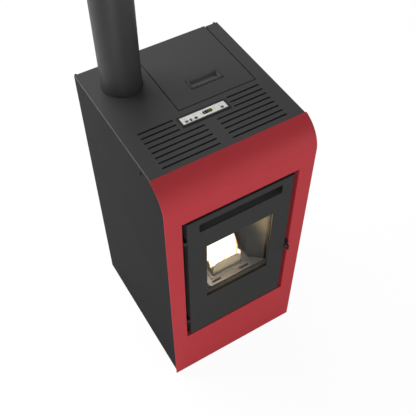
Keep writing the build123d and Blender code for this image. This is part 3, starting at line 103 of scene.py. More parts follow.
class Wires:
    """Adds and joins the nodes of one shader tree."""

    def __init__(self, tree: bpy.types.NodeTree) -> None:
        """Keeps the tree whose nodes are added."""
        self.tree = tree

    def feed(self, target: Socket, value: object) -> None:
        """Gives an input its value.

        Args:
            target: The input.
            value: The socket that feeds it, or a number, a vector or a colour of three parts.
        """
        if isinstance(value, Socket):
            self.tree.links.new(value, target)
        else:
            target.default_value = (*value, 1.0) if target.type == "RGBA" else value

    def add(self, kind: str, inputs: dict | None = None, **settings: object) -> bpy.types.Node:
        """Adds one node.

        Args:
            kind: Node type without the ShaderNode prefix.
            inputs: Input names or numbers with the values or sockets that they take.
            settings: Properties of the node.

        Returns:
            The new node.
        """
        node = self.tree.nodes.new("ShaderNode" + kind)
        for name, value in settings.items():
            setattr(node, name, value)
        for name, value in (inputs or {}).items():
            self.feed(node.inputs[name], value)
        return node

    def math(self, operation: str, *values: object) -> Socket:
        """Adds a Math node and gives its result."""
        return self.add("Math", dict(enumerate(values)), operation=operation).outputs[0]

    def plus(self, *values: object) -> Socket:
        """Adds values up, from left to right."""
        return reduce(lambda total, value: self.math("ADD", total, value), values)

    def times(self, *values: object) -> Socket:
        """Multiplies values, from left to right."""
        return reduce(lambda total, value: self.math("MULTIPLY", total, value), values)

    def mix(self, factor: object, first: object, second: object) -> Socket:
        """Mixes two colours by a factor."""
        return self.add("Mix", {0: factor, 6: first, 7: second}, data_type="RGBA").outputs[2]

    def scale(self, colour: object, level: object) -> Socket:
        """Makes a colour brighter or darker by a factor."""
        return self.add("VectorMath", {0: colour, "Scale": level}, operation="SCALE").outputs[0]

    def split(self, vector: Socket) -> Sockets:
        """Takes a vector apart into x, y and z."""
        return self.add("SeparateXYZ", {0: vector}).outputs

    def ramp(self, value: object, low: object, high: object) -> Socket:
        """Smooth step of a value between two limits."""
        inputs = {"Value": value, "From Min": low, "From Max": high}
        return self.add("MapRange", inputs, interpolation_type="SMOOTHSTEP").outputs[0]

    def noise(self, place: Socket, scale: object, detail: float = 2.0, rough: float = 0.5) -> Socket:
        """Noise between zero and one."""
        inputs = {"Vector": place, "Scale": scale, "Detail": detail, "Roughness": rough}
        return self.add("TexNoise", inputs).outputs[0]

    def centred(self, value: Socket) -> Socket:
        """Moves a noise so that it swings about zero."""
        return self.math("SUBTRACT", value, 0.5)


@dataclass(frozen=True)
class Effect:
    """A shader node group that several finishes share, built on its first use.

    An input whose default is None takes a vector.
    """

    name: str
    inputs: dict[str, object]
    outputs: dict[str, str]
    wire: Callable[[Wires, Sockets], tuple[Socket, ...]]

    def tree(self) -> bpy.types.NodeTree:
        """Finds the group, or builds it.

        Returns:
            The group with its named inputs and outputs.
        """
        if self.name in bpy.data.node_groups:
            return bpy.data.node_groups[self.name]
        tree = bpy.data.node_groups.new(self.name, "ShaderNodeTree")
        for label, value in self.inputs.items():
            kind = {type(None): "Vector", tuple: "Color"}.get(type(value), "Float")
            socket = tree.interface.new_socket(label, in_out="INPUT", socket_type="NodeSocket" + kind)
            if value is not None:
                socket.default_value = (*value, 1.0) if kind == "Color" else value
        for label, kind in self.outputs.items():
            tree.interface.new_socket(label, in_out="OUTPUT", socket_type="NodeSocket" + kind)
        start, end = tree.nodes.new("NodeGroupInput"), tree.nodes.new("NodeGroupOutput")
        for socket, target in zip(self.wire(Wires(tree), start.outputs), end.inputs):
            tree.links.new(socket, target)
        return tree


def wire_coat(wires: Wires, given: Sockets) -> tuple[Socket, ...]:
    """Wires a sprayed and baked coat: fine grain, faint clouds of tone and of gloss.

    Args:
        wires: The group's tree.
        given: The group's inputs.

    Returns:
        Colour, roughness and height.
    """
    clouds = wires.noise(given["Place"], 4.5, 3.0)
    fine = wires.noise(given["Place"], given["Grain"])
    swing = wires.times(wires.centred(clouds), given["Spread"])
    pores = wires.times(wires.centred(fine), given["Spread"])
    tone = wires.scale(given["Colour"], wires.plus(swing, pores, 1.0))
    return tone, wires.plus(given["Gloss"], wires.times(swing, 0.6)), fine


def wire_brushed(wires: Wires, given: Sockets) -> tuple[Socket, ...]:
    """Wires fine lines along X, as rolling or brushing leaves them.

    Args:
        wires: The group's tree.
        given: The group's inputs.

    Returns:
        Colour, roughness and height.
    """
    factors = (given["Length"], given["Fineness"], given["Fineness"])
    parts = [wires.times(part, factor) for part, factor in zip(wires.split(given["Place"]), factors)]
    stretched = wires.add("CombineXYZ", dict(enumerate(parts))).outputs[0]
    lines = wires.noise(stretched, 1.0, 3.0, 0.6)
    tone = wires.scale(given["Colour"], wires.plus(wires.times(lines, 0.3), 0.85))
    return tone, wires.plus(given["Gloss"], wires.times(lines, 0.15)), lines


def wire_darkening(wires: Wires, given: Sockets) -> tuple[Socket, ...]:
    """Wires a darkening that thickens along a direction and in clouds: smoke stain on the fire parts,
    painted shade on the window trim.

    Args:
        wires: The group's tree.
        given: The group's inputs.

    Returns:
        Colour and the stain's own mask.
    """
    along = wires.add("VectorMath", {0: given["Place"], 1: given["Direction"]}, operation="DOT_PRODUCT")
    clouds = wires.times(wires.centred(wires.noise(given["Place"], 14.0)), 0.03)
    mask = wires.ramp(wires.plus(along.outputs["Value"], clouds), given["Start"], given["End"])
    amount = wires.times(mask, given["Amount"])
    return wires.mix(amount, given["Colour"], given["Stain"]), amount


def wire_painted_edge_highlight(wires: Wires, given: Sockets) -> tuple[Socket, ...]:
    """Wires a painted highlight: a lighter tone on the rounded outer edges that run along the depth.

    Args:
        wires: The group's tree.
        given: The group's inputs.

    Returns:
        Colour alone.
    """
    facing = wires.split(given["Facing"])
    both = wires.times(wires.math("ABSOLUTE", facing[0]), wires.math("ABSOLUTE", facing[2]))
    across = wires.math("ABSOLUTE", wires.split(given["Place"])[0])
    outer = wires.math("GREATER_THAN", across, given["Reach"])
    clouds = wires.ramp(wires.noise(given["Place"], 30.0, 3.0), 0.15, 0.5)
    # Mask of the painted highlight: rounded edges beyond Reach from the middle, in patches.
    painted_highlight = wires.times(wires.ramp(both, 0.12, 0.4), clouds, outer, given["Amount"])
    return (wires.mix(painted_highlight, given["Colour"], given["Highlight"]),)


def wire_flakes(wires: Wires, given: Sockets) -> tuple[Socket, ...]:
    """Wires crystals or pressed flakes of changing tone, as in zinc coats and fire boards.

    Args:
        wires: The group's tree.
        given: The group's inputs.

    Returns:
        Colour and height.
    """
    cells = wires.add("TexVoronoi", {"Vector": given["Place"], "Scale": given["Fineness"]})
    shade = wires.add("SeparateColor", {0: cells.outputs["Color"]}).outputs[0]
    return wires.mix(shade, given["Colour"], given["Second"]), cells.outputs["Distance"]


COAT = Effect(
    "sprayed_coat",
    {"Place": None, "Colour": (0.1, 0.1, 0.1), "Grain": 900.0, "Spread": 0.1, "Gloss": 0.4},
    {"Colour": "Color", "Roughness": "Float", "Height": "Float"},
    wire_coat,
)
BRUSHED = Effect(
    "brushed_lines",
    {"Place": None, "Colour": (0.5, 0.5, 0.5), "Length": 12.0, "Fineness": 900.0, "Gloss": 0.3},
    {"Colour": "Color", "Roughness": "Float", "Height": "Float"},
    wire_brushed,
)
# Darkening along a direction: smoke stain on the fire parts, painted shade on the window trim.
DARKENING = Effect(
    "darkening_stain",
    {
        "Place": None,
        "Direction": None,
        "Colour": (0.5, 0.4, 0.3),
        "Stain": (0.035, 0.034, 0.028),
        "Start": 0.0,
        "End": 1.0,
        "Amount": 0.7,
    },
    {"Colour": "Color", "Mask": "Float"},
    wire_darkening,
)
# Painted highlight on the rounded outer edges of the casing; Highlight is its colour.
EDGE_HIGHLIGHT = Effect(
    "painted_edge_highlight",
    {
        "Place": None,
        "Facing": None,
        "Colour": (0.1, 0.1, 0.1),
        "Highlight": (0.28, 0.28, 0.27),
        "Reach": 0.24,
        "Amount": 1.0,
    },
    {"Colour": "Color"},
    wire_painted_edge_highlight,
)
FLAKES = Effect(
    "flake_mosaic",
    {"Place": None, "Colour": (0.5, 0.5, 0.5), "Second": (0.4, 0.4, 0.4), "Fineness": 200.0},
    {"Colour": "Color", "Height": "Float"},
    wire_flakes,
)


@dataclass
class MaterialSheet:
    """One material with its main shader, opened for wiring."""

    name: str
    roughness: float = 0.5
    metallic: float = 0.0

    def __post_init__(self) -> None:
        """Makes the material and finds its shader."""
        self.material = bpy.data.materials.new(self.name)
        self.material.use_nodes = True
        self.wires = Wires(self.material.node_tree)
        self.shader = self.material.node_tree.nodes["Principled BSDF"]
        self.join("Roughness", self.roughness)
        self.join("Metallic", self.metallic)
        self.place = self.wires.add("TexCoord").outputs["Object"]

    def join(self, name: str, value: object) -> None:
        """Gives one input of the main shader its value or socket."""
        self.wires.feed(self.shader.inputs[name], value)

    def group(self, effect: Effect, **values: object) -> Sockets:
        """Places a shared effect, fed with this piece's coordinates.

        Args:
            effect: The effect.
            values: Input names with their values or sockets.

        Returns:
            The effect's outputs.
        """
        return self.wires.add("Group", {"Place": self.place, **values}, node_tree=effect.tree()).outputs

    def skin(self, effect: Effect, **values: object) -> Sockets:
        """Places an effect of the sheet's own gloss that makes its colour and roughness.

        Args:
            effect: The effect.
            values: Input names with their values or sockets.

        Returns:
            The effect's outputs.
        """
        made = self.group(effect, Gloss=self.roughness, **values)
        self.join("Base Color", made["Colour"])
        self.join("Roughness", made["Roughness"])
        return made

    def bump(self, height: Socket, distance: float, strength: float) -> None:
        """Raises the surface by a height pattern; the distance is in metres."""
        node = self.wires.add("Bump", {"Height": height, "Distance": distance, "Strength": strength})
        self.join("Normal", node.outputs[0])

    def blend(self, factor: Socket, other: bpy.types.Node) -> None:
        """Shows a second shader in place of the main one.

        Args:
            factor: Share of the second shader.
            other: Node of the second shader.
        """
        mixed = self.wires.add("MixShader", {0: factor, 1: self.shader.outputs[0], 2: other.outputs[0]})
        surface = self.material.node_tree.nodes["Material Output"].inputs["Surface"]
        self.wires.feed(surface, mixed.outputs[0])


# ------------------------------------------------------------------ finishes


@dataclass(frozen=True)
class Finish:
    """What a piece is made of; each kind wires a material of its own."""

    name: str

    def material(self) -> bpy.types.Material:
        """Builds the material; every kind of finish has its own way."""
        raise NotImplementedError(self.name)


class Coat(Enum):
    """Ways in which a sheet was painted, as the grain's fineness and its depth in metres."""

    SMOOTH = (700.0, 0.00002)
    TEXTURED = (1300.0, 0.00006)
    HIGH_HEAT = (1900.0, 0.00005)


@dataclass(frozen=True)
class PaintedSheet(Finish):
    """Painted sheet metal."""

    colour: Colour
    coat: Coat
    roughness: float
    spread: float = 0.16
    shine: float = 0.12
    # Strength of the painted highlight on the rounded outer edges.
    edge: float = 0.0
    relief: float = 0.6

    def material(self) -> bpy.types.Material:
        """Builds the paint's material.

        Returns:
            The material, with a painted highlight on its outer edges where edge is set.
        """
        sheet = MaterialSheet(self.name, self.roughness)
        sheet.join("Specular IOR Level", self.shine)
        grain, depth = self.coat.value
        coat = sheet.skin(COAT, Colour=self.colour, Grain=grain, Spread=self.spread)
        # Painted highlight on the rounded outer edges, where edge is set.
        if self.edge:
            facing = sheet.wires.add("TexCoord").outputs["Normal"]
            edge = sheet.group(EDGE_HIGHLIGHT, Colour=coat["Colour"], Facing=facing, Amount=self.edge)
            sheet.join("Base Color", edge["Colour"])
        sheet.bump(coat["Height"], depth, self.relief)
        return sheet.material


@dataclass(frozen=True)
class BrushedMetal(Finish):
    """Uncoated metal with rolling or brushing lines."""

    colour: Colour
    roughness: float
    fineness: float = 900.0
    depth: float = 0.00001
    relief: float = 0.5

    def material(self) -> bpy.types.Material:
        """Builds the metal's material.

        Returns:
            The material.
        """
        sheet = MaterialSheet(self.name, self.roughness, 1.0)
        lines = sheet.skin(BRUSHED, Colour=self.colour, Fineness=self.fineness)
        sheet.bump(lines["Height"], self.depth, self.relief)
        return sheet.material


@dataclass(frozen=True)
class ZincSheet(Finish):
    """Galvanised sheet with its crystal pattern."""

    light: Colour
    dark: Colour
    roughness: float = 0.4
    metallic: float = 0.9
    crystals: float = 110.0
    grain: float = 500.0
    spread: float = 0.2
    depth: float = 0.00002
    relief: float = 0.4

    def material(self) -> bpy.types.Material:
        """Builds the zinc coat's material.

        Returns:
            The material.
        """
        sheet = MaterialSheet(self.name, self.roughness, self.metallic)
        mosaic = sheet.group(FLAKES, Colour=self.light, Second=self.dark, Fineness=self.crystals)
        sheet.skin(COAT, Colour=mosaic["Colour"], Grain=self.grain, Spread=self.spread)
        sheet.bump(mosaic["Height"], self.depth, self.relief)
        return sheet.material


@dataclass(frozen=True)
class FireMetal(Finish):
    """Steel or iron of the fire side: rough skin, heat tint and smoke stain; on the window trim, its
    golden tone is painted firelight and its stain painted shade.
    """

    colour: Colour
    metallic: float
    roughness: float
    darkening: float
    grain: float
    limits: Pair = (-0.47, -0.42)
    direction: Point = (0.0, 0.0, -1.0)
    spread: float = 0.35
    depth: float = 0.00015
    relief: float = 0.7

    def material(self) -> bpy.types.Material:
        """Builds the fire metal's material.

        Returns:
            The material, duller where it is darkened: by smoke stain on the fire parts, by painted shade
            on the window trim.
        """
        sheet = MaterialSheet(self.name, self.roughness, self.metallic)
        coat = sheet.skin(COAT, Colour=self.colour, Grain=self.grain, Spread=self.spread)
        stain = sheet.group(
            DARKENING,
            Colour=coat["Colour"],
            Direction=self.direction,
            Start=self.limits[0],
            End=self.limits[1],
            Amount=self.darkening,
        )
        sheet.join("Base Color", stain["Colour"])
        sheet.join("Roughness", sheet.wires.plus(coat["Roughness"], stain["Mask"]))
        sheet.bump(coat["Height"], self.depth, self.relief)
        return sheet.material


@dataclass(frozen=True)
class PressedBoard(Finish):
    """Pressed vermiculite, wood or ash; smoke stains it towards the fire."""

    colour: Colour
    second: Colour
    darkening: float
    limits: Pair = (-0.376, -0.28)
    direction: Point = (-1.0, 0.0, -0.33)
    stain: Colour = (0.018, 0.018, 0.0165)
    shine: float = 0.12
    roughness: float = 0.85
    flake: float = 260.0
    depth: float = 0.00004
    relief: float = 0.6

    def material(self) -> bpy.types.Material:
        """Builds the board's material.

        Returns:
            The material; its stain is the same on both sides of the middle.
        """
        sheet = MaterialSheet(self.name, self.roughness)
        sheet.join("Specular IOR Level", self.shine)
        flakes = sheet.group(FLAKES, Colour=self.colour, Second=self.second, Fineness=self.flake)
        folded = sheet.wires.add("VectorMath", {0: sheet.place}, operation="ABSOLUTE")
        stain = sheet.group(
            DARKENING,
            Place=folded.outputs[0],
            Stain=self.stain,
            Colour=flakes["Colour"],
            Direction=self.direction,
            Start=self.limits[0],
            End=self.limits[1],
            Amount=self.darkening,
        )
        sheet.join("Base Color", stain["Colour"])
        sheet.bump(flakes["Height"], self.depth, self.relief)
        return sheet.material


@dataclass(frozen=True)
class ClearPane(Finish):
    """Heat-proof glass with a breath of smoke on it."""

    roughness: float = 0.02
    index: float = 1.12
    haze_scale: float = 9.0
    haze: Pair = (0.3, 0.9)
    clean: Colour = (0.97, 0.97, 0.96)
    smoked: Colour = (0.9, 0.89, 0.86)
    shadow: Colour = (0.92, 0.92, 0.9)

    def material(self) -> bpy.types.Material:
        """Builds the glass's material.

        Returns:
            The material, clear to shadow rays.
        """
        sheet = MaterialSheet(self.name, self.roughness)
        sheet.join("Transmission Weight", 1.0)
        sheet.join("IOR", self.index)
        haze = sheet.wires.ramp(sheet.wires.noise(sheet.place, self.haze_scale, 3.0), *self.haze)
        sheet.join("Base Color", sheet.wires.mix(haze, self.clean, self.smoked))
        shadow = sheet.wires.add("LightPath").outputs["Is Shadow Ray"]
        sheet.blend(shadow, sheet.wires.add("BsdfTransparent", {"Color": self.shadow}))
        return sheet.material


@dataclass(frozen=True)
class MouldedPlastic(Finish):
    """Injection-moulded plastic with a spark-eroded grain."""

    colour: Colour
    roughness: float
    depth: float = 0.00002
    shine: float = 0.25
    # Lighter colour below the brim: painted light in a shaded recess.
    inside: Colour | None = None
    brim: float = 1.0305
    step: float = 0.001
    grain: float = 2200.0
    spread: float = 0.1
    relief: float = 0.5

    def material(self) -> bpy.types.Material:
        """Builds the plastic's material.

        Returns:
            The material; where inside is set, it has that colour below the brim, painted light that lifts
            the shaded recess.
        """
        sheet = MaterialSheet(self.name, self.roughness)
        sheet.join("Specular IOR Level", self.shine)
        colour = self.colour
        if self.inside:
            height = sheet.wires.split(sheet.place)[2]
            painted_light_mask = sheet.wires.ramp(height, self.brim, self.brim - self.step)
            colour = sheet.wires.mix(painted_light_mask, self.colour, self.inside)
        coat = sheet.skin(COAT, Colour=colour, Grain=self.grain, Spread=self.spread)
        sheet.bump(coat["Height"], self.depth, self.relief)
        return sheet.material


@dataclass(frozen=True)
class RopeYarn(Finish):
    """Glass-fibre rope: crossing yarns along the piece's own length."""

    colour: Colour
    gap: Colour = (0.03, 0.03, 0.03)
    roughness: float = 0.95
    lay: float = 35.0
    yarns: float = 130.0
    grain: float = 1500.0
    spread: float = 0.5
    depth: float = 0.0004
    relief: float = 0.8

    def material(self) -> bpy.types.Material:
        """Builds the yarn's material.

        Returns:
            The material.
        """
        sheet = MaterialSheet(self.name, self.roughness)
        waves = []
        for side in SIDES:
            turn = (math.radians(-side * self.lay),) * 3
            place = sheet.wires.add("Mapping", {0: sheet.place, "Rotation": turn}).outputs[0]
            inputs = {"Vector": place, "Scale": self.yarns, "Distortion": 1.0}
            waves.append(sheet.wires.add("TexWave", inputs).outputs["Fac"])
        yarn = sheet.wires.math("MAXIMUM", *waves)
        coat = sheet.group(COAT, Colour=self.colour, Grain=self.grain, Spread=self.spread)
        sheet.join("Base Color", sheet.wires.mix(yarn, self.gap, coat["Colour"]))
        sheet.bump(yarn, self.depth, self.relief)
        return sheet.material


@dataclass(frozen=True)
class BoardLacquer(Finish):
    """Circuit board lacquer over square copper tracks."""

    colour: Colour
    track: Colour = (0.05, 0.3, 0.12)
    fields: float = 90.0
    track_width: float = 0.03
    shade: float = 0.7
    roughness: float = 0.35
    grain: float = 800.0
    spread: float = 0.1
    depth: float = 0.00004
    relief: float = 0.5

    def material(self) -> bpy.types.Material:
        """Builds the board's material.

        Returns:
            The material.
        """
        sheet = MaterialSheet(self.name, self.roughness)
        inputs = {
            "Vector": sheet.place,
            "Scale": self.fields,
            "Mortar Size": self.track_width,
            "Color1": self.colour,
            "Color2": tuple(self.shade * part for part in self.colour),
            "Mortar": self.track,
        }
        tracks = sheet.wires.add("TexBrick", inputs).outputs
        coat = sheet.group(COAT, Colour=tracks["Color"], Grain=self.grain, Spread=self.spread)
        sheet.join("Base Color", coat["Colour"])
        sheet.bump(tracks["Fac"], self.depth, self.relief)
        return sheet.material


@dataclass(frozen=True)
class Glow(Finish):
    """A surface that gives light, brighter in the middle of each form than at its rim."""

    core: Colour
    rim: Colour
    strength: float
    fade: float = 0.0
    warm: Pair = (0.62, 0.88)
    clear: Pair = (0.8, 1.05)
    ground: Colour = (0.02, 0.015, 0.01)
    clouds: float = 45.0
    flicker: float = 0.2

    def material(self) -> bpy.types.Material:
        """Builds the glowing material.

        Returns:
            The material; where fade is set, its rim is partly clear.
        """
        sheet = MaterialSheet(self.name, 1.0)
        wires = sheet.wires
        facing = wires.add("LayerWeight", {"Blend": 0.5}).outputs["Facing"]
        clouds = wires.times(wires.noise(sheet.place, self.clouds, 3.0), self.flicker)
        turned = wires.plus(facing, clouds)
        sheet.join("Base Color", self.ground)
        sheet.join("Emission Color", wires.mix(wires.ramp(turned, *self.warm), self.core, self.rim))
        sheet.join("Emission Strength", self.strength)
        if self.fade:
            thin = wires.times(wires.ramp(turned, *self.clear), self.fade)
            sheet.join("Alpha", wires.math("SUBTRACT", 1.0, thin))
        return sheet.material


RED_SHEET = PaintedSheet("red_enamel", (0.585, 0.048, 0.06), Coat.SMOOTH, 0.5, 0.05, 0.25)
# The casing and side paints carry a painted highlight on their rounded outer edges.
CASING_SHEET = PaintedSheet(
    "casing_paint", (0.078, 0.078, 0.078), Coat.TEXTURED, 0.55, 0.14, 0.15, edge=0.9
)
# Painted shade: a darker copy of the casing paint for the upright sides and the back.
SHADED_SIDE_SHEET = PaintedSheet("side_paint_painted_shade", (0.019, 0.019, 0.019), Coat.TEXTURED, 0.6, 0.14, edge=0.9)
DOOR_SHEET = PaintedSheet("door_paint", (0.052, 0.053, 0.052), Coat.HIGH_HEAT, 0.65, 0.14, 0.06)
# Painted light: lighter copies of the dark frame paint, for the door frame and the front frame's mouth,
# which lie in shade.
LIT_FRAME_SHEET = PaintedSheet("frame_paint_painted_light", (0.14, 0.14, 0.136), Coat.HIGH_HEAT, 0.6, 0.14, 0.1)
LIT_MOUTH_SHEET = PaintedSheet("mouth_paint_painted_light", (0.26, 0.26, 0.255), Coat.HIGH_HEAT, 0.6, 0.14, 0.1)
FLUE_SHEET = PaintedSheet("flue_enamel", (0.043, 0.043, 0.043), Coat.SMOOTH, 0.42, 0.08, 0.6)
CHASSIS_SHEET = PaintedSheet("chassis_paint", (0.02, 0.021, 0.021), Coat.HIGH_HEAT, 0.7, 0.14, 0.06)
MOTOR_SHEET = PaintedSheet("motor_shell", (0.06, 0.06, 0.065), Coat.SMOOTH, 0.35)
FIXING_STEEL = BrushedMetal("fixing_steel", (0.45, 0.45, 0.44), 0.36)
BLACK_STEEL = BrushedMetal("black_steel", (0.07, 0.07, 0.07), 0.4)
CAST_ALLOY = BrushedMetal("cast_aluminium", (0.5, 0.5, 0.51), 0.5, 300.0)
LABEL_FILM = BrushedMetal("label_film", (0.8, 0.785, 0.76), 0.5, 260.0)
ZINC_SHEET = ZincSheet("zinc_sheet", (0.42, 0.43, 0.44), (0.3, 0.31, 0.32))
HEAT_IRON = FireMetal("heat_iron", (0.42, 0.35, 0.23), 0.1, 0.7, 0.93, 420.0, (-0.445, -0.415))
FIRE_STEEL = FireMetal("fire_steel", (0.84, 0.84, 0.82), 0.6, 0.36, 0.1, 600.0)
# Painted light: the trim's golden tone stands in for firelight on the window's edge; its darkening below
# is painted shade.
FIRELIT_TRIM = FireMetal("trim_painted_firelight", (0.5, 0.4, 0.25), 0.7, 0.5, 0.85, 500.0, (-0.72, -0.51))
FIRE_BOARD = PressedBoard("fire_board", (0.47, 0.355, 0.205), (0.42, 0.315, 0.18), 0.99)
WOOD_PELLET = PressedBoard("pressed_wood", (0.5, 0.33, 0.17), (0.36, 0.22, 0.1), 0.0)
WOOD_ASH = PressedBoard("wood_ash", (0.4, 0.39, 0.37), (0.25, 0.24, 0.23), 0.0)
PANE = ClearPane("door_glass")
SEAL_ROPE = RopeYarn("seal_rope", (0.16, 0.16, 0.15))
BLACK_PLASTIC = MouldedPlastic("black_plastic", (0.04, 0.04, 0.041), 0.55, shine=0.15)
# Painted light: the pull's recess is painted lighter than its rim, against the shade in it.
PULL_PLASTIC = MouldedPlastic(
    "pull_plastic", (0.078, 0.078, 0.078), 0.55, shine=0.15, inside=(0.26, 0.26, 0.26)
)
KEY_PLASTIC = MouldedPlastic("key_plastic", (0.52, 0.51, 0.49), 0.5)
DISPLAY_PLASTIC = MouldedPlastic("display_plastic", (0.005, 0.008, 0.006), 0.3, 0.000005, 0.05)
# Black ink of the key marks; it also paints the shadow round the lid's pull and the shade round the ash
# slots.
PRINT_INK_AND_PAINTED_SHADE = MouldedPlastic("print_ink_and_painted_shade", (0.008, 0.008, 0.008), 0.6, 0.000004, 0.05)
FAINT_INK = MouldedPlastic("faint_ink", (0.4, 0.4, 0.38), 0.6, 0.000004, 0.1)
BOARD_RESIN = BoardLacquer("board_resin", (0.012, 0.12, 0.045))
FLAME = Glow("flame", (1.0, 0.97, 0.88), (0.95, 0.34, 0.03), 1.6, 0.85)
EMBER = Glow("ember", (1.0, 0.55, 0.16), (0.5, 0.1, 0.015), 3.0)
DIGIT = Glow("digit_light", (0.25, 0.37, 0.08), (0.18, 0.27, 0.06), 1.0)
LAMP = Glow("lamp_light", (0.6, 0.62, 0.16), (0.45, 0.47, 0.12), 1.0)

SLOT_FINISHES = (
    (RED_SHEET, CASING_SHEET, DOOR_SHEET, FLUE_SHEET, CHASSIS_SHEET, MOTOR_SHEET)
    + (FIXING_STEEL, CAST_ALLOY, LABEL_FILM, ZINC_SHEET, HEAT_IRON, FIRE_STEEL, FIRE_BOARD)
    + (PANE, SEAL_ROPE, BLACK_PLASTIC, KEY_PLASTIC, DISPLAY_PLASTIC, BOARD_RESIN)
)
OWN_FINISH = {
    # painted light: lighter copies of the frame paint in shaded recesses
    "front_frame": LIT_MOUTH_SHEET,
    "door_frame": LIT_FRAME_SHEET,
    # painted shade: darker copy of the casing paint
    "side_panel_left": SHADED_SIDE_SHEET,
    "side_panel_right": SHADED_SIDE_SHEET,
    "rear_panel": SHADED_SIDE_SHEET,
    "lid_pull": PULL_PLASTIC,
}


@dataclass
class Workshop:
    """Holds the frame and the finished materials, and turns shapes into pieces."""

    frame: dict
    materials: dict[str, bpy.types.Material] = field(default_factory=dict)

    def finish_for(self, finish: Finish) -> bpy.types.Material:
        """Gives the material of a finish, built on its first use.

        Args:
            finish: The finish.

        Returns:
            Its material.
        """
        if finish.name not in self.materials:
            self.materials[finish.name] = finish.material()
        return self.materials[finish.name]

    def dress_nodes(self) -> None:
        """Gives every carried-over node the material of its slot, or one of its own."""
        by_slot = {finish.name: finish for finish in SLOT_FINISHES}
        for row in self.frame["record"]["subparts"]:
            node = self.frame["nodes"][row["node"]]
            material = self.finish_for(OWN_FINISH.get(row["node"], by_slot[row["material_slot"]]))
            for slot in node.material_slots:
                slot.material = material
            log.info("node %s wears %s", row["node"], material.name)

    def piece(
        self, name: str, shape: Shape, finish: Finish, body: str, slot: str, sharp: float = 35.0
    ) -> bpy.types.Object:
        """Turns a shape into a finished piece that rides on a body.

        Args:
            name: Name of the piece.
            shape: Its geometry, in the frame's metres; it is freed.
            finish: What it is made of.
            body: Body that carries it.
            slot: Material slot of the record; not used.
            sharp: Angle in degrees over which an edge stays sharp.

        Returns:
            The new object.
        """
        mesh = bpy.data.meshes.new(name)
        shape.to_mesh(mesh)
        shape.free()
        mesh.shade_smooth()
        mesh.set_sharp_from_angle(angle=math.radians(sharp))
        mesh.materials.append(self.finish_for(finish))
        item = bpy.data.objects.new(name, mesh)
        bpy.context.scene.collection.objects.link(item)
        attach(item, body)
        log.info("piece %s: %d faces on %s", name, len(mesh.polygons), body)
        return item


# ------------------------------------------------------------------ shapes, sized in millimetres


def grown_verts(result: dict) -> list[bmesh.types.BMVert]:
    """Picks the vertices out of what an operator made."""
    return [item for item in result["geom"] if isinstance(item, bmesh.types.BMVert)]


def round_edges(shape: Shape, edges: list[bmesh.types.BMEdge], offset: float, segments: int = 2) -> None:
    """Bevels edges round.

    Args:
        shape: The shape, which is changed.
        edges: Edges to round.
        offset: Width of the bevel.
        segments: Facets of each bevel.
    """
    bmesh.ops.bevel(
        shape,
        geom=edges,
        offset=offset * MM,
        affect="EDGES",
        segments=segments,
        profile=0.5,
        material=-1,
    )


def lathe(profile: Outline, steps: int = 32) -> Shape:
    """Spins a profile about Z.

    Args:
        profile: Radius and height of each point.
        steps: Number of facets round the axis.

    Returns:
        The closed shape.
    """
    shape = bmesh.new()
    points = [shape.verts.new((radius * MM, 0.0, height * MM)) for radius, height in profile]
    edges = [shape.edges.new(pair) for pair in zip(points, points[1:])]
    bmesh.ops.spin(
        shape,
        geom=points + edges,
        cent=(0, 0, 0),
        axis=(0, 0, 1),
        angle=math.tau,
        steps=steps,
        use_merge=True,
    )
    bmesh.ops.remove_doubles(shape, verts=shape.verts, dist=1e-7)
    bmesh.ops.recalc_face_normals(shape, faces=shape.faces)
    return shape


def ring(inner: float, outer: float, rise: float, steps: int) -> Shape:
    """Flat ring that stands on z = 0."""
    return lathe([(inner, 0.0), (inner, rise), (outer, rise), (outer, 0.0), (inner, 0.0)], steps)


def slab(outline: Outline, thickness: float, edge: float = 0.0) -> Shape:
    """Extrudes an outline up from z = 0.

    Args:
        outline: Corners in x and y, counter-clockwise.
        thickness: Height of the slab.
        edge: Bevel of the upper edges.

    Returns:
        The closed shape.
    """
    shape = bmesh.new()
    face = shape.faces.new([shape.verts.new((x * MM, y * MM, 0.0)) for x, y in outline])
    top = grown_verts(bmesh.ops.extrude_face_region(shape, geom=[face]))
    bmesh.ops.translate(shape, verts=top, vec=(0, 0, thickness * MM))
    if edge:
        rim = [e for e in shape.edges if all(abs(v.co.z - thickness * MM) < 1e-9 for v in e.verts)]
        round_edges(shape, rim, edge)
    bmesh.ops.recalc_face_normals(shape, faces=shape.faces)
    return shape


def block(size: Point) -> Shape:
    """Block about the origin.

    Args:
        size: Its size in x, y and z.

    Returns:
        The closed shape.
    """
    shape = bmesh.new()
    bmesh.ops.create_cube(shape, size=1.0)
    bmesh.ops.scale(shape, verts=shape.verts, vec=tuple(part * MM for part in size))
    return shape


def rounded_block(size: Point, edge: float, segments: int = 2) -> Shape:
    """Block about the origin with every edge rounded.

    Args:
        size: Its size in x, y and z.
        edge: Width of the bevels.
        segments: Facets of each bevel.

    Returns:
        The closed shape.
    """
    shape = block(size)
    round_edges(shape, shape.edges[:], edge, segments)
    return shape


# A pan head in shares of its radius and rise: half the cross recess, the crown's circle and how far
# it lies below the top, the recess's depth, and the width and drop of the rings down to the seat.
CROSS, CROWN, CROWN_DROP, RECESS = 0.42, 0.62, 0.08, 0.55
HEAD_RINGS = ((0.85, 0.3), (0.97, 0.6), (1.0, 1.0))


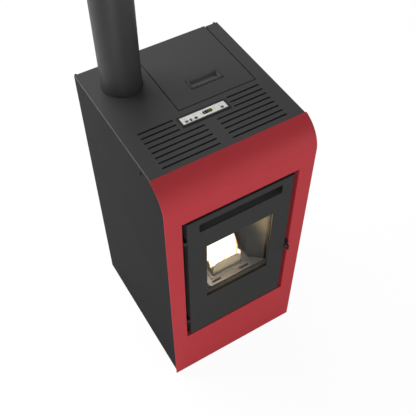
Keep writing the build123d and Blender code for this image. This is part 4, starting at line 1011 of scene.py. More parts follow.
def pan_head(radius: float, rise: float) -> Shape:
    """Screw head with a cross recess, its seat at z = 0 and its crown towards +Z.

    Args:
        radius: Radius of the head.
        rise: Height of its crown.

    Returns:
        The closed shape.
    """
    radius, rise = radius * MM, rise * MM
    shape = bmesh.new()
    bmesh.ops.create_grid(shape, x_segments=3, y_segments=3, size=radius * CROSS)
    corners = [f for f in shape.faces if min(abs(c) for c in f.calc_center_median()[:2]) > radius * 0.1]
    bmesh.ops.delete(shape, geom=corners, context="FACES")
    bmesh.ops.subdivide_edges(shape, edges=shape.edges[:], cuts=1, use_grid_fill=True)
    recess = shape.faces[:]
    border = [e for e in shape.edges if e.is_boundary]
    circle = bmesh.ops.create_circle(shape, segments=24, radius=radius * CROWN)
    circle_edges = list({e for v in circle["verts"] for e in v.link_edges})
    bmesh.ops.translate(shape, verts=circle["verts"], vec=(0, 0, -rise * CROWN_DROP))
    bmesh.ops.bridge_loops(shape, edges=border + circle_edges)
    for width, drop in HEAD_RINGS:
        edges = [e for e in shape.edges if e.is_boundary]
        for vert in grown_verts(bmesh.ops.extrude_edge_only(shape, edges=edges)):
            flat = Vector((vert.co.x, vert.co.y)).normalized() * radius * width
            vert.co = (flat.x, flat.y, -rise * drop)
    bmesh.ops.contextual_create(shape, geom=[e for e in shape.edges if e.is_boundary])
    painted_light_mask = grown_verts(bmesh.ops.extrude_face_region(shape, geom=recess))
    bmesh.ops.delete(shape, geom=recess, context="FACES_ONLY")
    bmesh.ops.translate(shape, verts=painted_light_mask, vec=(0, 0, -rise * RECESS))
    bmesh.ops.translate(shape, verts=shape.verts, vec=(0, 0, rise))
    bmesh.ops.recalc_face_normals(shape, faces=shape.faces)
    return shape


def place_shape(shape: Shape, spot: Vector, turn: Matrix | None = None) -> Shape:
    """Turns a shape and moves it to its spot.

    Args:
        shape: The shape, which is changed.
        spot: Where its origin comes to, in the frame's metres.
        turn: Rotation about its origin.

    Returns:
        The same shape.
    """
    matrix = Matrix.Translation(spot) @ (turn.to_4x4() if turn else Matrix.Identity(4))
    bmesh.ops.transform(shape, matrix=matrix, verts=shape.verts)
    return shape


def gather(shapes: list[Shape]) -> Shape:
    """Joins shapes into one and frees them.

    Args:
        shapes: The shapes.

    Returns:
        The joined shape.
    """
    whole = bmesh.new()
    for shape in shapes:
        mesh = bpy.data.meshes.new("part")
        shape.to_mesh(mesh)
        shape.free()
        whole.from_mesh(mesh)
        bpy.data.meshes.remove(mesh)
    return whole


def screw_row(places: list[Point], radius: float, rise: float, turn: Matrix) -> Shape:
    """Screw heads of one size that face the same way.

    Args:
        places: x, depth and height of each seat.
        radius: Radius of the heads.
        rise: Height of their crowns.
        turn: Rotation from +Z to the way that they face.

    Returns:
        The heads as one shape.
    """
    return gather([place_shape(pan_head(radius, rise), at(*place), turn) for place in places])


FACE_LEFT = Matrix.Rotation(math.radians(-90), 3, "Y")
FACE_RIGHT = Matrix.Rotation(math.radians(90), 3, "Y")
FACE_BACK = Matrix.Rotation(math.radians(-90), 3, "X")


# ------------------------------------------------------------------ sub-assemblies


@dataclass
class Group:
    """A sub-assembly, whose pieces the workshop makes; its sizes are in millimetres."""

    shop: Workshop

    def build(self) -> None:
        """Makes the pieces; every group has its own."""
        raise NotImplementedError


@dataclass
class CasingScrews(Group):
    """Pan-head screws of the casing: dark ones in front, bright ones behind."""

    radius: float = 4.0
    rise: float = 2.4
    side_x: float = 245.0
    rear_x: float = 237.0
    front_place: Pair = (122.6, 1005.5)
    rear_place: Pair = (455.0, 1006.6)
    rear_heights: tuple[float, ...] = (60.0, 520.0, 1015.0)

    def build(self) -> None:
        """Makes the front screws, and those of the rear sides and the back."""
        dark, bright = [], []
        for side, turn in zip(SIDES, (FACE_LEFT, FACE_RIGHT)):
            for heads, place in ((dark, self.front_place), (bright, self.rear_place)):
                heads.append(screw_row([(side * self.side_x, *place)], self.radius, self.rise, turn))
            places = [(side * self.rear_x, REAR, height) for height in self.rear_heights]
            bright.append(screw_row(places, self.radius, self.rise, FACE_BACK))
        front = self.shop.piece("screw_heads_front", gather(dark), CHASSIS_SHEET, "casing", "casing_paint")
        rest = self.shop.piece("screw_heads", gather(bright), BLACK_STEEL, "casing", "fixing_steel")
        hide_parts("casing_screws")
        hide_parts("casing_screws")


@dataclass
class LatchScrew(Group):
    """Button-head screw in the side of the latch's grip."""

    place: Point = (180.5, -8.0, 520.0)
    radius: float = 3.2
    rise: float = 1.4

    def build(self) -> None:
        """Makes the screw."""
        shape = screw_row([self.place], self.radius, self.rise, FACE_LEFT)
        self.shop.piece("latch_screw", shape, FIXING_STEEL, "latch", "fixing_steel")


@dataclass(frozen=True)
class Pellets:
    """Sizes of pressed wood pellets, in millimetres, and how they lie, in radians from upright."""

    lengths: Pair
    tilts: Pair
    facets: int
    radius: float = 3.0

    def make(self, chance: random.Random) -> tuple[Shape, Matrix]:
        """Makes one pellet.

        Args:
            chance: Source of its length, its heading and its tilt, drawn in this order.

        Returns:
            The upright pellet about the origin, and the turn that lays it down.
        """
        shape = bmesh.new()
        bmesh.ops.create_cone(
            shape,
            cap_ends=True,
            segments=self.facets,
            radius1=self.radius * MM,
            radius2=self.radius * MM,
            depth=chance.uniform(*self.lengths) * MM,
        )
        heading = Matrix.Rotation(chance.uniform(0, math.tau), 3, "Z")
        return shape, heading @ Matrix.Rotation(chance.uniform(*self.tilts), 3, "X")


@dataclass(frozen=True)
class Tongue:
    """One tongue of flame: place of its foot, width, heights and sideways shift of its tip."""

    x: float
    depth: float
    radius: float
    low: float
    high: float
    lean: float
    thickness: float = 0.5


@dataclass
class Fire(Group):
    """Flame and burning pellets in the pot."""

    pot_x: Pair = (-38.5, 38.5)
    pot_depth: Pair = (80.5, 137.5)
    bed: Pair = (419.0, 466.0)
    count: int = 150
    seed: int = 11
    pellets: Pellets = Pellets((10, 18), (1.1, 1.6), 8)
    rings: int = 16
    facets: int = 24
    foot: float = 0.14
    swell: float = 0.85
    blunt: float = 0.7
    bend: float = 1.4
    waves: float = 9.0
    phase: float = 0.2
    ripple: float = 0.12
    sway: float = 0.6
    tongues: tuple[Tongue, ...] = (
        Tongue(47, 80, 14, 446, 495, 3),
        Tongue(30, 80, 22, 455, 655, -24),
        Tongue(8, 80, 24, 455, 672, -10),
        Tongue(-16, 80, 24, 455, 660, -8),
        Tongue(-38, 80, 23, 455, 640, -24),
        Tongue(-46, 82, 10, 452, 508, -6),
        Tongue(34, 108, 20, 455, 610, -20, 0.9),
        Tongue(10, 112, 26, 455, 690, -12, 0.9),
        Tongue(-18, 112, 26, 455, 676, -2, 0.9),
        Tongue(-40, 108, 18, 455, 600, -6, 0.9),
    )

    def tongue(self, form: Tongue) -> Shape:
        """Shapes one tongue.

        Args:
            form: Its place and sizes.

        Returns:
            The closed shape.
        """
        rise = form.high - form.low
        profile = [(0.0, 0.0)]
        for number in range(1, self.rings):
            share = number / self.rings
            bulge = math.sin(math.pi * (self.foot + (1.0 - self.foot) * share**self.swell))
            profile.append((form.radius * bulge**self.blunt, share * rise))
        shape = lathe(profile + [(0.0, rise)], self.facets)
        for vert in shape.verts:
            share = vert.co.z / (rise * MM)
            wave = math.sin(share * self.waves + form.x * self.phase)
            ripple = wave * self.ripple * form.radius * MM * share
            vert.co.x += form.lean * share**self.bend * MM + ripple
            vert.co.y = vert.co.y * form.thickness + self.sway * ripple
        return place_shape(shape, at(form.x, form.depth, form.low))

    def heap(self) -> Shape:
        """Heaps the pellets that fill the pot.

        Returns:
            The pellets as one shape.
        """
        chance = random.Random(self.seed)
        shapes = []
        for _ in range(self.count):
            shape, turn = self.pellets.make(chance)
            spot = at(*(chance.uniform(*limits) for limits in (self.pot_x, self.pot_depth, self.bed)))
            shapes.append(place_shape(shape, spot, turn))
        return gather(shapes)

    def build(self) -> None:
        """Makes the flame and the bed of pellets."""
        flame = gather([self.tongue(form) for form in self.tongues])
        self.shop.piece("flame", flame, FLAME, "pot", "fire_board", 80.0)
        self.shop.piece("burning_pellets", self.heap(), EMBER, "pot", "heat_iron", 40.0)


class Segment(Enum):
    """Bars of a seven-bar digit, as centre x, centre y and whether the bar stands."""

    TOP = (0.0, 1.0, False)
    UPPER_LEFT = (-0.5, 0.5, True)
    UPPER_RIGHT = (0.5, 0.5, True)
    MIDDLE = (0.0, 0.0, False)
    LOWER_LEFT = (-0.5, -0.5, True)
    LOWER_RIGHT = (0.5, -0.5, True)
    BOTTOM = (0.0, -1.0, False)


DIGITS = {
    "0": tuple(segment for segment in Segment if segment is not Segment.MIDDLE),
    "1": (Segment.UPPER_RIGHT, Segment.LOWER_RIGHT),
    "2": (Segment.TOP, Segment.UPPER_RIGHT, Segment.MIDDLE, Segment.LOWER_LEFT, Segment.BOTTOM),
}
BOWL = [(6.1 * math.cos(a), 1.2 + 3.4 * math.sin(a)) for a in (math.pi * (1 + n / 10) for n in range(11))]
STROKE = [(-1.3, -5.2), (1.6, -4.8), (1.3, 5.2), (-1.6, 4.8)]
PEAK = [(-5.6, -2.6), (5.6, -2.6), (5.0, 0.2), (1.8, 1.4), (0.0, 5.2), (-1.8, 1.4), (-5.0, 0.2)]
LEFT_SLOPE = [(-3.4, -1.2), (-2.8, -1.2), (0.2, 2.2), (0.0, 2.8)]
RIGHT_SLOPE = [(3.4, -1.2), (0.0, 2.8), (-0.2, 2.2), (2.8, -1.2)]
DOME = [(0.0, 0.0), (1.1, 0.0), (0.8, 0.35), (0.0, 0.5)]


@dataclass
class ControlStrip(Group):
    """Lit digits, lamps and plain marks of the control label."""

    display_x: float = 12.0
    display_depth: float = 211.5
    display_face: float = 1030.8
    lens_size: Point = (30.0, 11.6, 0.3)
    lens_edge: float = 0.1
    digits: str = "0120"
    digit_pitch: float = 6.2
    digit_half: float = 2.9
    bar_width: float = 0.8
    bar_cut: float = 0.2
    bar_gap: float = 0.3
    label_face: float = 1030.5
    lamp_places: tuple[Pair, ...] = ((-57.3, 221.0), (-28.0, 221.0), (56.5, 221.0))
    key_places: tuple[float, ...] = (-57.3, -44.0, -28.0, 56.5)
    key_depth: float = 205.5
    key_face: float = 1031.4
    ink: float = 0.05
    print_depth: float = 215.2
    ring_places: Pair = (-57.3, 52.0)
    ring_radii: Pair = (2.5, 3.1)
    peak_place: float = -28.0
    stroke_heights: tuple[Pair, ...] = ((-9.0, 7.0), (-6.0, 5.0), (31.0, 7.0), (34.0, 7.0), (37.0, 5.0))

    def mark(self, outline: Outline, x: float, depth: float, face: float) -> Shape:
        """One thin raised form; its outline is about its own middle."""
        return place_shape(slab(outline, self.ink), at(x, depth, face))

    def bar(self, width: float, height: float) -> Outline:
        """Outlines a bar with cut corners.

        Args:
            width: Its width.
            height: Its height.

        Returns:
            The corners, about its middle.
        """
        cut = min(width, height) * self.bar_cut
        a, b = width / 2, height / 2
        lower = [(-a, cut - b), (cut - a, -b), (a - cut, -b), (a, cut - b)]
        return lower + [(-x, -y) for x, y in lower]

    def digit(self, text: str, x: float) -> list[Shape]:
        """Makes the lit bars of one digit.

        Args:
            text: The digit.
            x: Its middle.

        Returns:
            The bars.
        """
        shapes = []
        long = self.digit_half - self.bar_width * self.bar_gap
        face = self.display_face + self.lens_size[2]
        for segment in DIGITS[text]:
            right, up, stands = segment.value
            outline = self.bar(self.bar_width, long) if stands else self.bar(long, self.bar_width)
            across, back = x + right * self.digit_half, self.display_depth + up * self.digit_half
            shapes.append(self.mark(outline, across, back, face))
        return shapes

    def label_print(self) -> Shape:
        """Prints faint rings, a hollow peak and strokes beside the keys and the display.

        Returns:
            The print as one shape.
        """
        shapes = []
        for x in self.ring_places:
            shape = ring(*self.ring_radii, self.ink, 24)
            shapes.append(place_shape(shape, at(x, self.print_depth, self.label_face)))
        for slope in (LEFT_SLOPE, RIGHT_SLOPE):
            shapes.append(self.mark(slope, self.peak_place, self.print_depth, self.label_face))
        for x, height in self.stroke_heights:
            outline = self.bar(self.bar_width, height)
            shapes.append(self.mark(outline, x, self.display_depth, self.label_face))
        return gather(shapes)

    def build(self) -> None:
        """Makes the digits, the lens, the lamps, the marks of the keys and the print."""
        bars = []
        for number, text in enumerate(self.digits):
            shift = number - (len(self.digits) - 1) / 2
            bars += self.digit(text, self.display_x + shift * self.digit_pitch)
        self.shop.piece("display_digits", gather(bars), DIGIT, "casing", "display_plastic")
        width, height, thickness = self.lens_size
        lens = slab(self.bar(width, height), thickness, self.lens_edge)
        place_shape(lens, at(self.display_x, self.display_depth, self.display_face))
        self.shop.piece("display_lens", lens, DISPLAY_PLASTIC, "casing", "display_plastic")
        lamps = [place_shape(lathe(DOME, 16), at(*place, self.label_face)) for place in self.lamp_places]
        self.shop.piece("status_lamps", gather(lamps), LAMP, "casing", "display_plastic")
        for number, (x, outline) in enumerate(zip(self.key_places, (BOWL, STROKE, PEAK, BOWL))):
            shape = self.mark(outline, x, self.key_depth, self.key_face)
            name, body = f"key_mark_{number + 1}", "key_" + "abcd"[number]
            self.shop.piece(name, shape, PRINT_INK_AND_PAINTED_SHADE, body, "key_plastic")
        self.shop.piece("label_print", self.label_print(), FAINT_INK, "casing", "label_film")


@dataclass
class SocketPins(Group):
    """Metal pins of the mains inlet."""

    places: tuple[Point, ...] = ((168.0, 532.0, 79.6), (175.0, 532.0, 76.6), (182.0, 532.0, 79.6))
    size: Point = (2.1, 14.2, 4.1)
    edge: float = 0.5

    def build(self) -> None:
        """Makes the three pins."""
        shapes = [place_shape(rounded_block(self.size, self.edge), at(*place)) for place in self.places]
        self.shop.piece("inlet_pins", gather(shapes), FIXING_STEEL, "casing", "fixing_steel")


@dataclass
class WindowTrim(Group):
    """Thin strip that lines the edge of the door's window; its golden tone is painted firelight, darker
    towards the bottom.
    """

    half_width: float = 116.4
    low: float = 445.1
    high: float = 727.4
    front: float = 0.6
    back: float = 3.0
    wall: float = 0.5

    def build(self) -> None:
        """Makes the strip."""
        shape = block((2 * self.half_width, self.back - self.front, self.high - self.low))
        bmesh.ops.delete(shape, geom=[f for f in shape.faces if abs(f.normal.y) > 0.5], context="FACES")
        bmesh.ops.solidify(shape, geom=shape.faces[:], thickness=self.wall * MM)
        bmesh.ops.recalc_face_normals(shape, faces=shape.faces)
        place_shape(shape, at(0.0, (self.front + self.back) / 2, (self.low + self.high) / 2))
        # Painted firelight on the window's edge, fading into painted shade lower down.
        self.shop.piece("window_trim", shape, FIRELIT_TRIM, "door", "heat_iron")


@dataclass
class WindowSill(Group):
    """Bent sheet that closes the space under the pane, inside the door."""

    half_width: float = 128.0
    front: float = 15.0
    back: float = 30.5
    top: float = 431.5
    foot: float = 411.0
    wall: float = 1.2
    fold: float = 2.5

    def build(self) -> None:
        """Makes the sheet."""
        outline = [
            (self.front, self.top - self.wall),
            (self.back - self.wall, self.top - self.wall),
            (self.back - self.wall, self.foot),
            (self.back, self.foot),
            (self.back, self.top - self.fold),
            (self.back - self.fold * 0.3, self.top - self.fold * 0.3),
            (self.back - self.fold, self.top),
            (self.front, self.top),
        ]
        shape = slab([(-depth, height) for depth, height in outline], 2 * self.half_width)
        turn = Matrix(((0, 0, 1), (-1, 0, 0), (0, 1, 0)))
        place_shape(shape, at(-self.half_width, 0.0, 0.0), turn)
        bmesh.ops.recalc_face_normals(shape, faces=shape.faces)
        # The sill wears the lighter mouth paint: painted light in a band that lies in shade.
        self.shop.piece("window_sill", shape, LIT_MOUTH_SHEET, "door", "heat_iron")


@dataclass
class DoorReturn(Group):
    """Folded edge that runs back from the door's hinge side and closes the gap to the view."""

    outer: float = -180.0
    front: float = 12.0
    back: float = 29.0
    lip: float = 9.0
    wall: float = 1.5
    edge: float = 0.3

    def build(self) -> None:
        """Makes the folded strip along the door's whole height."""
        low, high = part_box("door_panel")
        outline = [
            (self.outer, self.front),
            (self.outer + self.wall, self.front),
            (self.outer + self.wall, self.back - self.wall),
            (self.outer + self.lip, self.back - self.wall),
            (self.outer + self.lip, self.back),
            (self.outer + self.wall * 0.5, self.back),
            (self.outer, self.back - self.wall * 0.5),
        ]
        shape = slab(outline, (high[2] - low[2]) / MM, self.edge)
        place_shape(shape, at(0.0, 0.0, low[2] / MM))
        self.shop.piece("door_return", shape, DOOR_SHEET, "door", "door_paint")


@dataclass
class DarkFrames(Group):
    """Painted shadow round the lid's pull and frames of painted shade round the ash slots, as dark bars.
    """

    # Width and height of the painted shadow round the pull.
    shadow_seam: float = 1.3
    shadow_seam_height: float = 0.4
    lid_top: float = 1029.0
    slot_x: float = 53.0
    slot_depth: float = 45.0
    slot_size: Pair = (30.0, 4.0)
    # Width and height of the bars of painted shade round the ash slots.
    darkening: float = 1.7
    darkening_height: float = 0.2
    plate_top: float = 431.0

    def frame(self, hole: Pair, width: float, rise: float, spot: Vector) -> list[Shape]:
        """Puts four bars round a hole.

        Args:
            hole: Width and depth of the hole.
            width: Width of each bar.
            rise: Height of the bars.
            spot: Middle of the hole, at the height on which the bars stand.

        Returns:
            The bars.
        """
        bars = []
        for side in SIDES:
            long = ((hole[0] + 2 * width, width, rise), (0.0, side * (hole[1] + width) / 2, rise / 2))
            short = ((width, hole[1], rise), (side * (hole[0] + width) / 2, 0.0, rise / 2))
            for size, shift in (long, short):
                bars.append(place_shape(rounded_block(size, rise * 0.2, 1), spot + Vector(shift) * MM))
        return bars

    def build(self) -> None:
        """Makes the painted shadow round the pull and both frames of painted shade."""
        low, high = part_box("lid_pull")
        hole = ((high[0] - low[0]) / MM, (high[1] - low[1]) / MM)
        middle = Vector(((low[0] + high[0]) / 2, (low[1] + high[1]) / 2, self.lid_top * MM))
        bars = self.frame(hole, self.shadow_seam, self.shadow_seam_height, middle)
        # Painted shadow in the gap round the pull.
        self.shop.piece("pull_shadow_seam", gather(bars), PRINT_INK_AND_PAINTED_SHADE, "lid", "black_plastic")
        bars = []
        for side in SIDES:
            spot = at(side * self.slot_x, self.slot_depth, self.plate_top)
            bars += self.frame(self.slot_size, self.darkening, self.darkening_height, spot)
        # Painted shade round the ash slots.
        self.shop.piece("slot_darkening", gather(bars), PRINT_INK_AND_PAINTED_SHADE, "casing", "fire_steel")


@dataclass
class VentVanes(Group):
    """Racks of vanes under the slots of the top plate, which turn the warm air forwards."""

    first: float = 90.4
    pitch: float = 20.1
    long_rows: int = 5
    short_rows: int = 3
    outer: float = 201.0
    inner_long: float = 13.0
    inner_short: float = 83.0
    reach: Pair = (-5.0, 9.5)
    heights: Pair = (1012.0, 1021.0)
    cheek_heights: Pair = (1010.0, 1027.0)
    cheek_reach: Pair = (-6.0, 11.0)
    wall: float = 1.0
    edge: float = 0.3

    def vane(self, inner: float, outer: float, depth: float) -> Shape:
        """Makes one slanted strip.

        Args:
            inner: Its end towards the middle.
            outer: Its other end.
            depth: Front edge of its slot.

        Returns:
            The closed shape.
        """
        rise, run = self.heights[1] - self.heights[0], self.reach[1] - self.reach[0]
        shape = rounded_block((abs(outer - inner), math.hypot(rise, run), self.wall), self.edge, 1)
        middle = at((inner + outer) / 2, depth + sum(self.reach) / 2, sum(self.heights) / 2)
        return place_shape(shape, middle, Matrix.Rotation(math.atan2(rise, run), 3, "X"))

    def cheek(self, x: float, first: float, last: float) -> Shape:
        """Makes an end plate that hangs vanes from the top plate.

        Args:
            x: Its place.
            first: Depth of its foremost vane.
            last: Depth of its rearmost vane.

        Returns:
            The closed shape.
        """
        front, back = first + self.cheek_reach[0], last + self.cheek_reach[1]
        size = (self.wall, back - front, self.cheek_heights[1] - self.cheek_heights[0])
        middle = at(x, (front + back) / 2, sum(self.cheek_heights) / 2)
        return place_shape(rounded_block(size, self.edge, 1), middle)

    def build(self) -> None:
        """Makes the rack of each side."""
        shapes = []
        rows = [self.first + self.pitch * row for row in range(self.long_rows + self.short_rows)]
        long, short = rows[: self.long_rows], rows[self.long_rows :]
        for side in SIDES:
            for inner, depths in ((self.inner_long, long), (self.inner_short, short)):
                shapes += [self.vane(side * inner, side * self.outer, depth) for depth in depths]
            for end, depths in ((self.outer, rows), (self.inner_long, long), (self.inner_short, short)):
                shapes.append(self.cheek(side * end, depths[0], depths[-1]))
        self.shop.piece("vent_vanes", gather(shapes), CASING_SHEET, "casing", "casing_paint")


@dataclass
class RockerMarks(Group):
    """Plain on and off marks of the mains rocker: a bar and a ring."""

    x: float = 175.0
    middle: float = 102.48
    face: float = 544.5
    half: float = 9.0
    tilt: float = 16.0
    ink: float = 0.08
    bar: Pair = (0.9, 4.6)
    bar_edge: float = 0.03
    radii: Pair = (1.4, 2.1)

    def build(self) -> None:
        """Makes both marks, the ring square to the leaning half."""
        bar = rounded_block((self.bar[0], 2 * self.ink, self.bar[1]), self.bar_edge)
        place_shape(bar, at(self.x, self.face, self.middle + self.half / 2))
        lean = math.atan(math.sin(math.radians(self.tilt)))
        depth = self.face - math.tan(lean) * self.half / 2
        turn = Matrix.Rotation(-math.pi / 2 - lean, 3, "X")
        off = place_shape(
            ring(*self.radii, self.ink, 32), at(self.x, depth, self.middle - self.half / 2), turn
        )
        self.shop.piece("rocker_marks", gather([bar, off]), KEY_PLASTIC, "rocker", "key_plastic")


@dataclass
class WallBuffers(Group):
    """Rubber buffers at the rear top corners; the profile is in shares of radius and reach."""

    x: float = 237.5
    height: float = 1023.0
    radius: float = 4.0
    reach: float = 8.5
    profile: tuple[Pair, ...] = (
        ((0.0, 0.0), (1.0, 0.0), (1.0, 0.8), (0.85, 0.95))
        + ((0.6, 1.0), (0.45, 1.0), (0.4, 0.7), (0.0, 0.7))
    )

    def build(self) -> None:
        """Makes the pair."""
        profile = [(wide * self.radius, far * self.reach) for wide, far in self.profile]
        spots = [at(side * self.x, REAR, self.height) for side in SIDES]
        shapes = [place_shape(lathe(profile, 24), spot, FACE_BACK) for spot in spots]
        self.shop.piece("wall_buffers", gather(shapes), CHASSIS_SHEET, "casing", "black_plastic")


@dataclass
class RearLouvres(Group):
    """Pressed hoods over the slots of the rear panel, open at the bottom."""

    x: float = 95.0
    lowest: float = 640.0
    pitch: float = 22.0
    rows: int = 6
    size: Point = (118.0, 7.0, 13.0)
    drop: float = 1.0
    wall: float = 1.0
    fold: float = 4.5

    def hood(self, x: float, height: float) -> Shape:
        """Makes one hood.

        Args:
            x: Its middle.
            height: Height of its slot.

        Returns:
            The closed sheet.
        """
        shape = block(self.size)
        open_faces = [f for f in shape.faces if f.normal.y < -0.5 or f.normal.z < -0.5]
        bmesh.ops.delete(shape, geom=open_faces, context="FACES")
        round_edges(shape, [e for e in shape.edges if len(e.link_faces) == 2], self.fold, 4)
        bmesh.ops.recalc_face_normals(shape, faces=shape.faces)
        bmesh.ops.solidify(shape, geom=shape.faces[:], thickness=self.wall * MM)
        bmesh.ops.recalc_face_normals(shape, faces=shape.faces)
        return place_shape(shape, at(x, REAR + self.size[1] / 2, height - self.drop))

    def build(self) -> None:
        """Makes both columns of hoods."""
        heights = [self.lowest + row * self.pitch for row in range(self.rows)]
        shapes = [self.hood(side * self.x, height) for side in SIDES for height in heights]
        # The hoods wear the side paint, a darker copy of the casing paint: painted shade.
        self.shop.piece("rear_louvres", gather(shapes), SHADED_SIDE_SHEET, "casing", "casing_paint")


@dataclass
class DoorRope(Group):
    """Twisted glass-fibre rope in the groove of the door frame."""

    strands: int = 3
    twist: float = 26.0
    corner: float = 9.0
    corner_steps: int = 6
    step: float = 2.2
    strand_radius: float = 2.45

    def path(self, half: float, low: float, high: float) -> list[tuple[Vector, Vector]]:
        """Runs round a rectangle with rounded corners, in x and height.

        Args:
            half: Half its width.
            low: Its lower height.
            high: Its upper height.

        Returns:
            Points, each with its outward direction.
        """
        near, floor, top = half - self.corner, low + self.corner, high - self.corner
        centres = [Vector(place) for place in ((near, floor), (near, top), (-near, top), (-near, floor))]
        points = []
        for number, centre in enumerate(centres):
            for share in range(self.corner_steps + 1):
                angle = math.radians(90.0 * (number - 1 + share / self.corner_steps))
                outward = Vector((math.cos(angle), math.sin(angle)))
                points.append((centre + outward * self.corner, outward))
            begin = points[-1][0]
            goal = centres[(number + 1) % 4] + outward * self.corner
            count = int((goal - begin).length / self.step)
            points += [(begin.lerp(goal, stop / count), outward) for stop in range(1, count)]
        return points

    def strand(self, places: list[Point]) -> bpy.types.Mesh:
        """Sweeps one strand along its closed path.

        Args:
            places: Points of the path, in the frame's metres.

        Returns:
            The strand's mesh.
        """
        curve = bpy.data.curves.new("strand", "CURVE")
        curve.dimensions = "3D"
        curve.bevel_depth = self.strand_radius * MM
        curve.bevel_resolution = 1
        spline = curve.splines.new("POLY")
        spline.points.add(len(places) - 1)
        spline.use_cyclic_u = True
        for point, place in zip(spline.points, places):
            point.co = (*place, 1.0)
        carrier = bpy.data.objects.new("strand", curve)
        mesh = bpy.data.meshes.new_from_object(carrier)
        bpy.data.objects.remove(carrier)
        bpy.data.curves.remove(curve)
        return mesh

    def build(self) -> None:
        """Makes the strands, each wound about the groove's middle."""
        low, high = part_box("door_seal")
        middle, radius = (low[1] + high[1]) / 2, (high[1] - low[1]) / 2
        offset = radius - self.strand_radius * MM
        points = self.path((high[0] - radius) / MM, (low[2] + radius) / MM, (high[2] - radius) / MM)
        runs = [0.0]
        for before, after in zip(points, points[1:]):
            runs.append(runs[-1] + (after[0] - before[0]).length)
        turns = round(runs[-1] / self.twist)
        whole = bmesh.new()
        for number in range(self.strands):
            places = []
            for (point, outward), run in zip(points, runs):
                angle = math.tau * (turns * run / runs[-1] + number / self.strands)
                flat = point * MM + outward * offset * math.cos(angle)
                places.append((flat.x, middle + offset * math.sin(angle), flat.y))
            mesh = self.strand(places)
            whole.from_mesh(mesh)
            bpy.data.meshes.remove(mesh)
        bmesh.ops.recalc_face_normals(whole, faces=whole.faces)
        rope = self.shop.piece("door_rope", whole, SEAL_ROPE, "door", "seal_rope", 80.0)
        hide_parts("door_seal")


@dataclass
class LooseFuel(Group):
    """Pellets in the hopper and ash in the drawer; its sizes are in metres."""

    seed: int = 5
    count: int = 1100
    pellets: Pellets = Pellets((9, 19), (1.2, 1.75), 7)
    fill: float = 0.846
    fill_low: float = 0.815
    cover: float = 0.004
    margin: float = 0.009
    scatter: Pair = (-0.002, 0.005)
    waves: Pair = (26.0, 21.0)
    phases: Pair = (0.6, 1.1)
    swell: float = 0.006
    crumb: float = 0.001
    facets: int = 36
    drawer_wall: float = 0.002
    ash_depth: float = 0.018
    ash_swell: float = 1.4

    def mound(self, x: float, y: float) -> float:
        """Height of the heap at a place."""
        across, back = (math.sin(v * w + p) for v, w, p in zip((x, y), self.waves, self.phases))
        return across * back * self.swell

    def bed(self, low: Point, high: Point, height: float, swell: float) -> Shape:
        """Makes a closed heap with a wavy top between two corners.

        Args:
            low: Lower corner.
            high: Upper corner, of which x and y count.
            height: Mean height of the top.
            swell: Factor of the waves.

        Returns:
            The closed shape.
        """
        chance = random.Random(self.seed)
        shape = bmesh.new()
        bmesh.ops.create_grid(shape, x_segments=self.facets, y_segments=self.facets, size=0.5)
        bmesh.ops.scale(shape, verts=shape.verts, vec=(high[0] - low[0], high[1] - low[1], 1.0))
        centre = ((low[0] + high[0]) / 2, (low[1] + high[1]) / 2, height)
        bmesh.ops.translate(shape, verts=shape.verts, vec=centre)
        floor = shape.verts[:]
        top = grown_verts(bmesh.ops.extrude_face_region(shape, geom=shape.faces[:]))
        for vert in floor:
            vert.co.z = low[2]
        for vert in top:
            crumb = chance.uniform(-self.crumb, self.crumb)
            vert.co.z += (self.mound(vert.co.x, vert.co.y) + crumb) * swell
        bmesh.ops.recalc_face_normals(shape, faces=shape.faces)
        return shape

    def build(self) -> None:
        """Makes the hopper's fill and the drawer's ash."""
        chance = random.Random(self.seed)
        low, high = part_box("hopper_grille")
        shapes = [self.bed((low[0], low[1], self.fill_low), high, self.fill - self.cover, 1.0)]
        for _ in range(self.count):
            shape, turn = self.pellets.make(chance)
            x = chance.uniform(low[0] + self.margin, high[0] - self.margin)
            y = chance.uniform(low[1] + self.margin, high[1] - self.margin)
            height = self.fill + self.mound(x, y) + chance.uniform(*self.scatter)
            shapes.append(place_shape(shape, Vector((x, y, height)), turn))
        self.shop.piece("hopper_pellets", gather(shapes), WOOD_PELLET, "casing", "fire_board", 40.0)
        low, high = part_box("ash_drawer")
        inner_low = tuple(part + self.drawer_wall for part in low)
        inner_high = tuple(part - self.drawer_wall for part in high)
        ash = self.bed(inner_low, inner_high, low[2] + self.ash_depth, self.ash_swell)
        self.shop.piece("drawer_ash", ash, WOOD_ASH, "casing", "fire_board", 60.0)


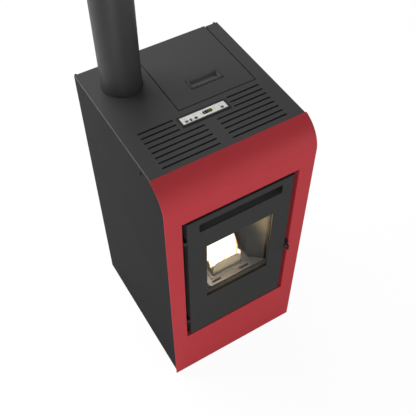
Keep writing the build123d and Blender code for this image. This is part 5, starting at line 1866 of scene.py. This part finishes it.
@dataclass
class SmallScrews(Group):
    """Screws of the glass clips, door frame, hinge leaves, air flange and mains inlet."""

    clip_x: float = 135.0
    clip_depth: float = 15.5
    clip_heights: tuple[float, ...] = (484.55, 586.25, 687.95)
    frame_x: float = 163.2
    frame_depth: float = 30.0
    frame_heights: tuple[float, ...] = (263.0, 396.0, 530.0, 664.0, 797.0)
    leaf_middles: Pair = (-10.0, 157.0)
    leaf_half: float = 12.0
    leaf_depth: float = 548.0
    leaf_height: float = 982.0
    plate_depth: float = 543.0
    intake_height: float = 310.0
    intake_circle: float = 30.0
    inlet_x: float = 175.0
    inlet_heights: Pair = (64.0, 116.0)

    def build(self) -> None:
        """Makes every group of screws."""
        clips = [(side * self.clip_x, self.clip_depth, z) for side in SIDES for z in self.clip_heights]
        frame = [(side * self.frame_x, self.frame_depth, z) for side in SIDES for z in self.frame_heights]
        leaves = [
            (middle + side * self.leaf_half, self.leaf_depth, self.leaf_height)
            for middle in self.leaf_middles
            for side in SIDES
        ]
        flange = []
        for angle in (math.radians(45 + 90 * quarter) for quarter in range(4)):
            x, rise = self.intake_circle * math.cos(angle), self.intake_circle * math.sin(angle)
            flange.append((x, self.plate_depth, self.intake_height + rise))
        inlet = [(self.inlet_x, self.plate_depth, z) for z in self.inlet_heights]
        for name, places, radius, rise, finish, body in (
            ("clip_screws", clips, 2.6, 1.6, FIXING_STEEL, "door"),
            ("door_frame_screws", frame, 3.2, 1.8, FIXING_STEEL, "door"),
            ("hinge_leaf_screws", leaves, 3.4, 2.0, BLACK_STEEL, "casing"),
            ("air_flange_screws", flange, 2.8, 1.6, FIXING_STEEL, "casing"),
            ("inlet_screws", inlet, 2.3, 1.3, FIXING_STEEL, "casing"),
        ):
            heads = screw_row(places, radius, rise, FACE_BACK)
            self.shop.piece(name, heads, finish, body, "fixing_steel")


# ------------------------------------------------------------------ studio


@dataclass
class Studio:
    """Floor, lamps, surroundings and the camera at the photograph's angle, in metres."""

    camera_place: Point = (-0.69085, -1.23260, 2.34785)
    camera_yaw: float = 30.9965
    camera_pitch: float = 52.0778
    camera_reach: Pair = (0.01, 100.0)
    focal_pixels: float = 675.4699
    picture_width: float = 416.0
    sensor: float = 36.0
    sky: float = 0.22
    floor_half: float = 15.0
    floor_tones: tuple[Colour, Colour] = ((0.58, 0.58, 0.58), (0.62, 0.62, 0.62))
    floor_light: float = 1.1
    floor_share: float = 0.86
    aim: Point = (0.0, 0.0, 0.7)
    lamps: tuple[tuple[str, Point, float, float], ...] = (
        ("left_lamp", (-2.6, 2.4, 2.0), 2.2, 88.0),
        ("front_lamp", (-1.8, -3.6, 0.5), 2.2, 78.0),
        ("back_lamp", (0.0, 2.8, 3.4), 2.6, 60.0),
        ("right_lamp", (2.6, -2.6, 0.7), 2.2, 28.0),
    )

    def floor(self) -> None:
        """Makes the pale floor, which keeps the shadow and shows white."""
        shape = bmesh.new()
        bmesh.ops.create_grid(shape, x_segments=8, y_segments=8, size=self.floor_half)
        mesh = bpy.data.meshes.new("floor")
        shape.to_mesh(mesh)
        shape.free()
        sheet = MaterialSheet("studio_floor", 0.9)
        sheet.join("Base Color", sheet.wires.mix(sheet.wires.noise(sheet.place, 2.0), *self.floor_tones))
        sheet.join("Specular IOR Level", 0.0)
        rays = sheet.wires.add("LightPath").outputs
        seen = sheet.wires.math("MAXIMUM", rays["Is Camera Ray"], rays["Is Transmission Ray"])
        light = sheet.wires.add("Emission", {"Color": (1.0, 1.0, 1.0), "Strength": self.floor_light})
        sheet.blend(sheet.wires.times(seen, self.floor_share), light)
        mesh.materials.append(sheet.material)
        ground = bpy.data.objects.new("floor", mesh)
        bpy.context.scene.collection.objects.link(ground)

    def surroundings(self) -> None:
        """Makes a white background that lights the stove faintly."""
        world = bpy.data.worlds.new("studio")
        world.use_nodes = True
        wires = Wires(world.node_tree)
        seen = wires.add("LightPath").outputs["Is Camera Ray"]
        background = world.node_tree.nodes["Background"]
        wires.feed(background.inputs["Color"], (1.0, 1.0, 1.0))
        wires.feed(background.inputs["Strength"], wires.math("MAXIMUM", seen, self.sky))
        bpy.context.scene.world = world

    def lamp(self, name: str, spot: Point, size: float, power: float) -> None:
        """Hangs a soft square lamp that points at the stove's middle.

        Args:
            name: Its name.
            spot: Its place.
            size: Side of its square.
            power: Its power in watts.
        """
        data = bpy.data.lights.new(name, "AREA")
        data.shape = "SQUARE"
        data.size = size
        data.energy = power
        lamp = bpy.data.objects.new(name, data)
        lamp.location = spot
        aim = Vector(self.aim) - Vector(spot)
        lamp.rotation_euler = aim.to_track_quat("-Z", "Y").to_euler()
        bpy.context.scene.collection.objects.link(lamp)

    def camera(self) -> None:
        """Sets the camera up at the photograph's angle."""
        data = bpy.data.cameras.new("photo_camera")
        data.sensor_width = self.sensor
        data.lens = self.focal_pixels / self.picture_width * self.sensor
        data.clip_start, data.clip_end = self.camera_reach
        camera = bpy.data.objects.new("photo_camera", data)
        camera.location = self.camera_place
        pitch, yaw = math.radians(90.0 - self.camera_pitch), math.radians(-self.camera_yaw)
        camera.rotation_euler = (pitch, 0.0, yaw)
        bpy.context.scene.collection.objects.link(camera)
        bpy.context.scene.camera = camera

    def build(self) -> None:
        """Makes the whole studio."""
        bpy.context.scene.view_settings.view_transform = "Standard"
        self.surroundings()
        self.floor()
        for name, spot, size, power in self.lamps:
            self.lamp(name, spot, size, power)
        self.camera()


GROUPS = (
    (CasingScrews, LatchScrew, Fire, ControlStrip, SocketPins, WindowTrim, WindowSill, DoorReturn)
    + (DarkFrames, VentVanes, RockerMarks, WallBuffers, RearLouvres, DoorRope, LooseFuel, SmallScrews)
)


def main() -> None:
    """Builds the studio and dresses the stove, group by group."""
    logging.basicConfig(level=logging.INFO, format="%(name)s %(message)s")
    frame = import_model()
    Studio().build()
    shop = Workshop(frame)
    shop.dress_nodes()
    for kind in GROUPS:
        kind(shop).build()
        log.info("group %s is done", kind.__name__)


if __name__ == "__main__":
    main()
